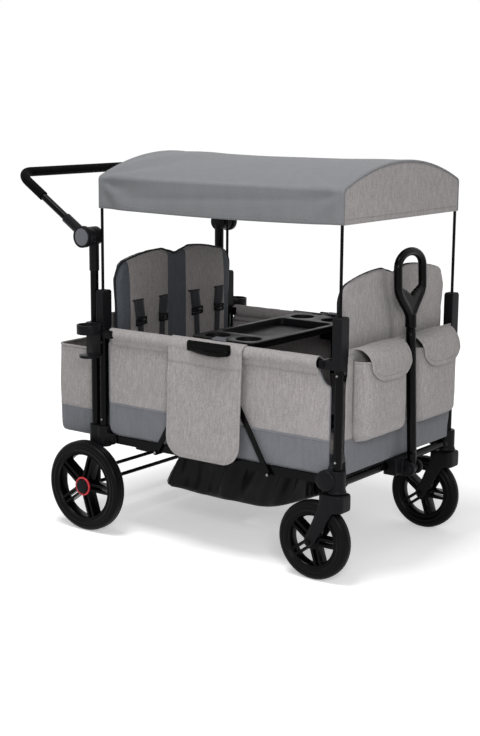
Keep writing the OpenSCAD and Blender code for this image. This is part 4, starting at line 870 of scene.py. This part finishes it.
# Seats: padded backs and cushions, filled by a cloth simulation at the rear and mirrored to the front
SEAT_BACK_X, SEAT_EDGE, SEAT_HALF, SEAT_FOOT_Z, CUSHION_FOOT_Z = 414.7, 15, 285, 352, 308.3
SEAT_ROOM, SEAT_SHOULDER, SEAT_PEAK_Y, SEAT_PEAK_Z, SEAT_NOTCH = 286.2, 40, 62, 850, 12
FILL_PRESSURE, FILL_STEPS = 4, 20
# Depth and spread of the valley behind a seat back and of the line sewn in its front
VALLEY_DEEP, VALLEY_SPREAD, SEWN_DEEP, SEWN_SPREAD = 12, 26, 12, 20


def stuffed(name, voxel, limit, give, low, high):
    """A CAD pad filled like foam in a sewn cover: no point moves over limit mm or leaves the room from low to high.
    Give is the share of the movement that the sewn seams allow along each axis."""
    obj = cad_copy(name, f"{name}_pad")
    even_mesh(obj, voxel)
    bake(obj)
    start = [v.co.copy() for v in obj.data.vertices]
    fill = obj.modifiers.new("filling", "CLOTH")
    fill.settings.use_pressure = True
    fill.settings.uniform_pressure_force = FILL_PRESSURE
    fill.settings.effector_weights.gravity = 0
    fill.collision_settings.use_collision = False
    fill.point_cache.frame_start, fill.point_cache.frame_end = 1, FILL_STEPS
    for step in range(1, FILL_STEPS + 1):
        bpy.context.scene.frame_set(step)
    bake(obj)
    bpy.context.scene.frame_set(1)
    for v, rest in zip(obj.data.vertices, start):
        move = Vector(tuple(m * share for m, share in zip(v.co - rest, give)))
        v.co = rest + move * min(1.0, limit * MM / max(move.length, 1e-9))
    for v in obj.data.vertices:
        v.co = Vector(tuple(min(max(c, a), b) for c, a, b in zip(v.co, low, high)))
    modify(obj, "soft", "SUBSURF", levels=1, render_levels=1)
    # The pad takes the seat cover, whose colours are darkened as painted shade
    dress(bake(obj), SEAT_IN_PAINTED_SHADE)
    return obj


def seat_top(y):
    """Height of a seat back's edge across its width: two peaks, a notch between them and rounded shoulders."""
    a = abs(y)
    if a < SEAT_PEAK_Y:
        crest = SEAT_PEAK_Z - SEAT_NOTCH + SEAT_NOTCH * (a / SEAT_PEAK_Y) ** 2
    else:
        crest = SEAT_PEAK_Z - 38 * ((a - SEAT_PEAK_Y) / (SEAT_HALF - SEAT_PEAK_Y)) ** 2
    over = max(0.0, a - SEAT_HALF + SEAT_SHOULDER)
    return crest - SEAT_SHOULDER + sqrt(max(0.0, SEAT_SHOULDER ** 2 - over * over))


rear_back = stuffed("rear_seat_back", 6, 10, (1, 0.2, 0.2), at(-SEAT_BACK_X, -SEAT_ROOM, 349),
                    at(-372, SEAT_ROOM, 856))
# The middle is drawn in along a sewn line in front, and in a wider valley behind
for v in rear_back.data.vertices:
    off, z, depth = abs(v.co.y / MM), v.co.z / MM, (v.co.x - at(-SEAT_BACK_X, 0, 0).x) / MM
    behind = 1 - smooth(depth / 14)
    near_top = smooth((z - 770) / 70)
    drawn_in = exp(-off / SEWN_SPREAD) * smooth((z - 380) / 120) * (1 - 0.6 * near_top)
    valley = exp(-((off - 40 * smooth((z - 680) / 150)) / VALLEY_SPREAD) ** 2)
    v.co.y *= 1.016
    v.co.z += 7 * MM * smooth((z - 560) / 280)
    v.co.x += MM * (behind * ((VALLEY_DEEP - 3 * near_top) * valley + 6 * smooth((off - 225) / 60))
                    - (1 - behind) * SEWN_DEEP * drawn_in)
seat_backs = {"rear": rear_back, "front": mirrored(rear_back, "front_seat_back_pad")}
rear_pad = stuffed("rear_seat_cushion", 6, 8, (0.4, 0.4, 1), at(-386, -SEAT_ROOM, CUSHION_FOOT_Z),
                   at(-164, SEAT_ROOM, 356))
cushions = {"rear": rear_pad, "front": mirrored(rear_pad, "front_seat_cushion_pad")}
# The outer back of the front seat is all heather. It takes the walls' lighter heather because it faces out of the
# canopy's shade, while the darker seat colours are painted shade
paint(seat_backs["front"], HEATHER,
      lambda face: face.center.x > at(SEAT_BACK_X - 45, 0, 0).x and face.normal.x > 0.12)
seat_edge = [(-SEAT_HALF * (1 - 0.02 * sin(pi * i / 30)),
              SEAT_FOOT_Z + (seat_top(SEAT_HALF) - SEAT_FOOT_Z) * i / 30) for i in range(30)]
seat_edge += [(-SEAT_HALF * cos(pi * i / 90), seat_top(SEAT_HALF * cos(pi * i / 90)))
              for i in range(91)]
seat_edge += [(-y, z) for y, z in seat_edge[29::-1]]
STRAPS, STRAP_LEAN, PAD_TOP_Z, CLIP_Z, CLIP_HALF = (77, 203), 8, 704, 640, 22

for end, sx in ENDS:
    back = settle(seat_backs[end], f"{end}_frame", "seat_cloth", f"{end}_seat_back")
    pad = settle(cushions[end], f"{end}_bottom_rails", "seat_cloth", f"{end}_seat_cushion")
    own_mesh(pad)
    welt = [at(sx * (SEAT_BACK_X - SEAT_EDGE - 1), y, z - 6 * exp(-(y / 14) ** 2)) for y, z in seat_edge]
    settle(rod(f"{end}_seat_piping", welt, 3.2, PIPING), f"{end}_frame", "seat_cloth", f"{end}_seat_back")

    def seat_face(y, z, lift):
        """Place in front of the seat back's cover, lift mm off it."""
        hit, spot, _, _ = back.ray_cast(at(sx * 300, y, z), Vector((sx, 0, 0)))
        return (spot if hit else at(sx * 388, y, z)) - Vector((sx * lift * MM, 0, 0))

    def belt(name, line, width, lift, thick, look):
        """A strap of this width along a line of places on the seat back."""
        def belt_point(u, v):
            return seat_face(*part_way(line, v), lift) + Vector((0, (u - 0.5) * width * MM, 0))

        return cloth(name, belt_point, 4, 6 * (len(line) - 1), look, thick)

    parts, clips = [], []
    for sy in (-1, 1):
        for place in STRAPS:
            y = sy * place
            lean = sy * (STRAP_LEAN if place == STRAPS[0] else -STRAP_LEAN)
            parts.append(belt("pad", [(y, PAD_TOP_Z), (y + lean * 0.4, 680), (y + lean, 652)], 40, 4, 5, WEBBING))
            parts.append(belt("web", [(y + lean, 650), (y + lean * 1.6, 560), (y + lean * 2.2, 470),
                                      (y + lean * 2.6, 372)], 25, 3, 1.8, WEBBING))
            clip = [seat_face(y + lean + w, CLIP_Z - drop + 0.2 * lean * w / CLIP_HALF, 8)
                    for w, drop in ((-CLIP_HALF, -9), (CLIP_HALF, -9), (CLIP_HALF, 9), (-CLIP_HALF, 9))]
            clips.append(rod("clip", clip, 3.8, MOULDED, ring=True))
            clips.append(rod("bar", [seat_face(y + lean + w, CLIP_Z, 8) for w in (-CLIP_HALF, 0, CLIP_HALF)], 3.4,
                             MOULDED))
            clips.append(rod("slot", [seat_face(y + w, PAD_TOP_Z + 1, 2) for w in (-24, -12, 0, 12, 24)], 2.6, PIPING))
    settle(gather(f"{end}_harness", parts), f"{end}_frame", "seat_cloth")
    settle(gather(f"{end}_harness_clips", clips), f"{end}_frame", "charcoal_plastic")

# Wheels: tyres with a line moulded round each side wall, hub caps, ringed in red at the rear
def turned(name, place, sy, profile, look, turns=48, ring=False):
    """A turned piece on a wheel's axis: radius and depth outwards from a place, in mm; a ring's profile closes."""
    spots = [place + Vector((r * cos(tau * k / turns), sy * d, r * sin(tau * k / turns))) * MM
             for r, d in profile for k in range(turns)]
    faces = grid(len(profile), turns, ring)
    if not ring:
        faces.append(tuple((len(profile) - 1) * turns + k for k in range(turns)))
    return reshape(piece(name, spots, faces, look),
                   lambda shape: bmesh.ops.recalc_face_normals(shape, faces=shape.faces))


TYRE_DEEP, TREAD_BEND = 32, 14
# Axle place along the wagon, off its middle and above the ground, and tyre width; the radius is the axle's height
REAR_X, REAR_Y, REAR_R, REAR_WIDE = -458, 355, 140, 44
FRONT_X, FRONT_Y, FRONT_R, FRONT_WIDE = 354, 310, 113, 40
HUB_RING_R, HUB_OUT, AXLE_CAP_OUT = 26, 18, 37
HUB_CAP = [(22, -2), (22, 5), (21, 7), (17, 8.2), (7, 8.8), (1, 8.9)]
AXLE_CAP = [(9, -1), (9, 2.5), (7.5, 4), (3, 4.6), (1, 4.7)]
HUB_SHELL = [(27.5, -8), (27.5, 1), (28.5, 2.6), (31, 2.6), (32.5, 1), (32.5, -14), (30, -18), (24, -19)]
BUTTON_FACE = [(26.6, -5), (26.6, 0.6), (25.4, 1.8), (14, 2.4), (1, 2.6)]
RAIL_COVER = [(30, -6), (30, 5), (28.5, 8.5), (24, 11), (12, 12.4), (1, 12.6)]


def tyre_profile(radius, width):
    """Outline of a tyre: crowned tread with two grooves, rounded shoulders, a line and a bead on each side wall."""
    half = [(radius, 0), (radius, 3.5), (radius - 1.2, 4.2), (radius - 1.2, 5.8), (radius, 6.5)]
    half += [(radius - TREAD_BEND + TREAD_BEND * cos(a), width / 2 - TREAD_BEND + TREAD_BEND * sin(a))
             for a in (radians(15 * k) for k in range(7))]
    half += [(radius - 16.5, width / 2), (radius - 17.2, width / 2 - 1.5), (radius - 19.6, width / 2 - 1.5),
             (radius - 20.3, width / 2), (radius - 25, width / 2 - 0.2), (radius - 27, width / 2 - 1.4),
             (radius - 27.6, width / 2 - 2.8), (radius - TYRE_DEEP, width / 2 - 2.6)]
    return half + [(r, -d) for r, d in half[:0:-1]]


for side, sy in SIDES:
    for end, x, y, radius, width in (("rear", REAR_X, REAR_Y, REAR_R, REAR_WIDE),
                                     ("front", FRONT_X, FRONT_Y, FRONT_R, FRONT_WIDE)):
        settle(turned(f"{end}_{side}_tyre", at(x, sy * y, radius), sy, tyre_profile(radius, width), TYRE, 96, True),
               f"{end}_wheel_{side}", "tyre_rubber", f"{end}_tyre_{side}")
    hub = at(REAR_X, sy * (REAR_Y + HUB_OUT), REAR_R)
    body = f"rear_wheel_{side}"
    settle(turned(f"rear_{side}_hub_cap", hub, sy, HUB_CAP, MOULDED), body, "charcoal_plastic")
    ring = [hub + Vector((HUB_RING_R * cos(a), sy * 1.6, HUB_RING_R * sin(a))) * MM
            for a in (tau * k / 64 for k in range(64))]
    settle(rod(f"rear_{side}_hub_ring", ring, 3.4, RED_RING, ring=True), body, "charcoal_plastic")
    for face in (-1, 1):
        settle(turned(f"front_{side}_axle_cap_{'in' if face * sy < 0 else 'out'}",
                      at(FRONT_X, sy * FRONT_Y + face * AXLE_CAP_OUT, FRONT_R), face, AXLE_CAP, TUBE),
               f"caster_{side}", "black_steel")

# Push handle hubs: a round shell about each pivot with a grey button set in its face
for side, sy in SIDES:
    low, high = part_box(f"handle_button_{side}")
    face = Vector(((low.x + high.x) / 2, low.y if sy < 0 else high.y, (low.z + high.z) / 2))
    settle(turned(f"handle_{side}_hub_shell", face, sy, HUB_SHELL, MOULDED), "push_handle", finish_of["handle_hubs"])
    settle(turned(f"handle_{side}_button_face", face, sy, BUTTON_FACE, BUTTON), f"handle_button_{side}",
           "button_plastic", f"handle_button_{side}")

# Covers over the front ends of the bottom rails, the studs that the links turn on and the posts' rivets
COVER_X, COVER_Y, COVER_Z = 402, 330.4, 294
STUD_X, STUD_Z, RIVET_Y, RIVET_ROWS = 205, 277, 322.4, (345, 585)
for side, sy in SIDES:
    settle(turned(f"front_{side}_rail_cover", at(COVER_X, sy * COVER_Y, COVER_Z), sy, RAIL_COVER, MOULDED),
           "front_frame", "charcoal_plastic")
for end, sx in ENDS:
    stud_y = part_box(f"{end}_bottom_rails")[1].y / MM
    rivets(f"{end}_link_studs", [at(sx * STUD_X, sy * stud_y, STUD_Z) for _, sy in SIDES], 4.2,
           f"{end}_bottom_rails")
    rivets(f"{end}_rivets", [at(sx * BOW_X, sy * RIVET_Y, z) for _, sy in SIDES for z in RIVET_ROWS], 3.6,
           f"{end}_frame")

# Tray clip: a grey tab that holds the tray to the middle hinge on each side
TAB_IN, TAB_LONG, TAB_Z = 284, 29, 636
for side, sy in SIDES:
    def tab_point(u, v):
        reach = TAB_IN + TAB_LONG * v
        low, high = -3 - 6 * v ** 2, 30 + 14 * v ** 2
        return at(low + (high - low) * u, sy * reach, TAB_Z + 8 * sin(pi * min(1, 0.1 + 0.8 * v)) - 2 * v)

    settle(cloth(f"tray_{side}_clip", tab_point, 8, 12, BUTTON, 3), "tray", "button_plastic")

# Studio: a pale floor that keeps the shadow, a white surround for the camera and soft lamps
def seen_directly(tree):
    """1 for what the camera sees, also mirrored or through a surface, and 0 for light that falls on the pieces."""
    ray = add(tree, "ShaderNodeLightPath").outputs
    seen = calc(tree, "MAXIMUM", ray["Is Camera Ray"], ray["Is Glossy Ray"])
    return calc(tree, "MAXIMUM", seen, ray["Is Transmission Ray"])


paper = new_material("white studio paper", "#f5f5f5", 0.95, Specular_IOR_Level=0.0)
tree = paper.node_tree
place = add(tree, "ShaderNodeTexCoord")
away = add(tree, "ShaderNodeVectorMath", {0: place.outputs["Object"]}, operation="LENGTH")
white = add(tree, "ShaderNodeMapRange", {"Value": away.outputs["Value"], "From Min": 0.9, "From Max": 2.6,
                                         "To Min": 0.38, "To Max": 0.62})
lift = calc(tree, "MULTIPLY", seen_directly(tree), white)
shader = tree.nodes["Principled BSDF"]
shader.inputs["Emission Color"].default_value = (1, 1, 1, 1)
tree.links.new(lift.outputs[0], shader.inputs["Emission Strength"])
floor = piece("floor", [(-30, -30, 0), (30, -30, 0), (30, 30, 0), (-30, 30, 0)], [(0, 1, 2, 3)], paper)
world = bpy.data.worlds.new("studio")
bpy.context.scene.world = world
world.use_nodes = True
sky = world.node_tree
sky.nodes.clear()
level = add(sky, "ShaderNodeMapRange", {"Value": seen_directly(sky), "To Min": 0.44, "To Max": 1.0})
backdrop = add(sky, "ShaderNodeBackground", {"Color": (1, 1, 1, 1), "Strength": level.outputs["Result"]})
add(sky, "ShaderNodeOutputWorld", {"Surface": backdrop})


def lamp(name, place, target, size, watts):
    light = bpy.data.lights.new(name, "AREA")
    light.shape = "RECTANGLE"
    light.size, light.size_y = size
    light.energy = watts
    holder = stand(name, light)
    holder.location = place
    holder.rotation_euler = (Vector(target) - Vector(place)).to_track_quat("-Z", "Y").to_euler()


lamp("above", (-0.05, -1.3, 4.6), (0.12, 0, 0.3), (1.5, 1.5), 108)
lamp("front corner", (2.1, -2.3, 1.6), (0.4, -0.1, 0.5), (0.6, 0.6), 27)
lamp("front", (3.4, 0.8, 1.8), (0.4, 0, 0.5), (0.6, 0.6), 3)

# Camera, solved from the photograph's straight edges
yaw, pitch, roll = radians(36.51), radians(10.95), radians(0.4)
back = Vector((sin(yaw) * cos(pitch), -cos(yaw) * cos(pitch), sin(pitch)))
right = Vector((cos(yaw), sin(yaw), 0))
up = back.cross(right)
right, up = right * cos(roll) + up * sin(roll), up * cos(roll) - right * sin(roll)
camera_data = bpy.data.cameras.new("camera")
camera_data.sensor_width = 36
camera_data.lens = 70.535
camera = stand("camera", camera_data)
camera.matrix_world = Matrix.Translation(at(2472.92, -3527.02, 1340.56)) @ Matrix(
    ((right.x, up.x, back.x), (right.y, up.y, back.y), (right.z, up.z, back.z))).to_4x4()
bpy.context.scene.camera = camera
bpy.context.scene.view_settings.view_transform = "Standard"
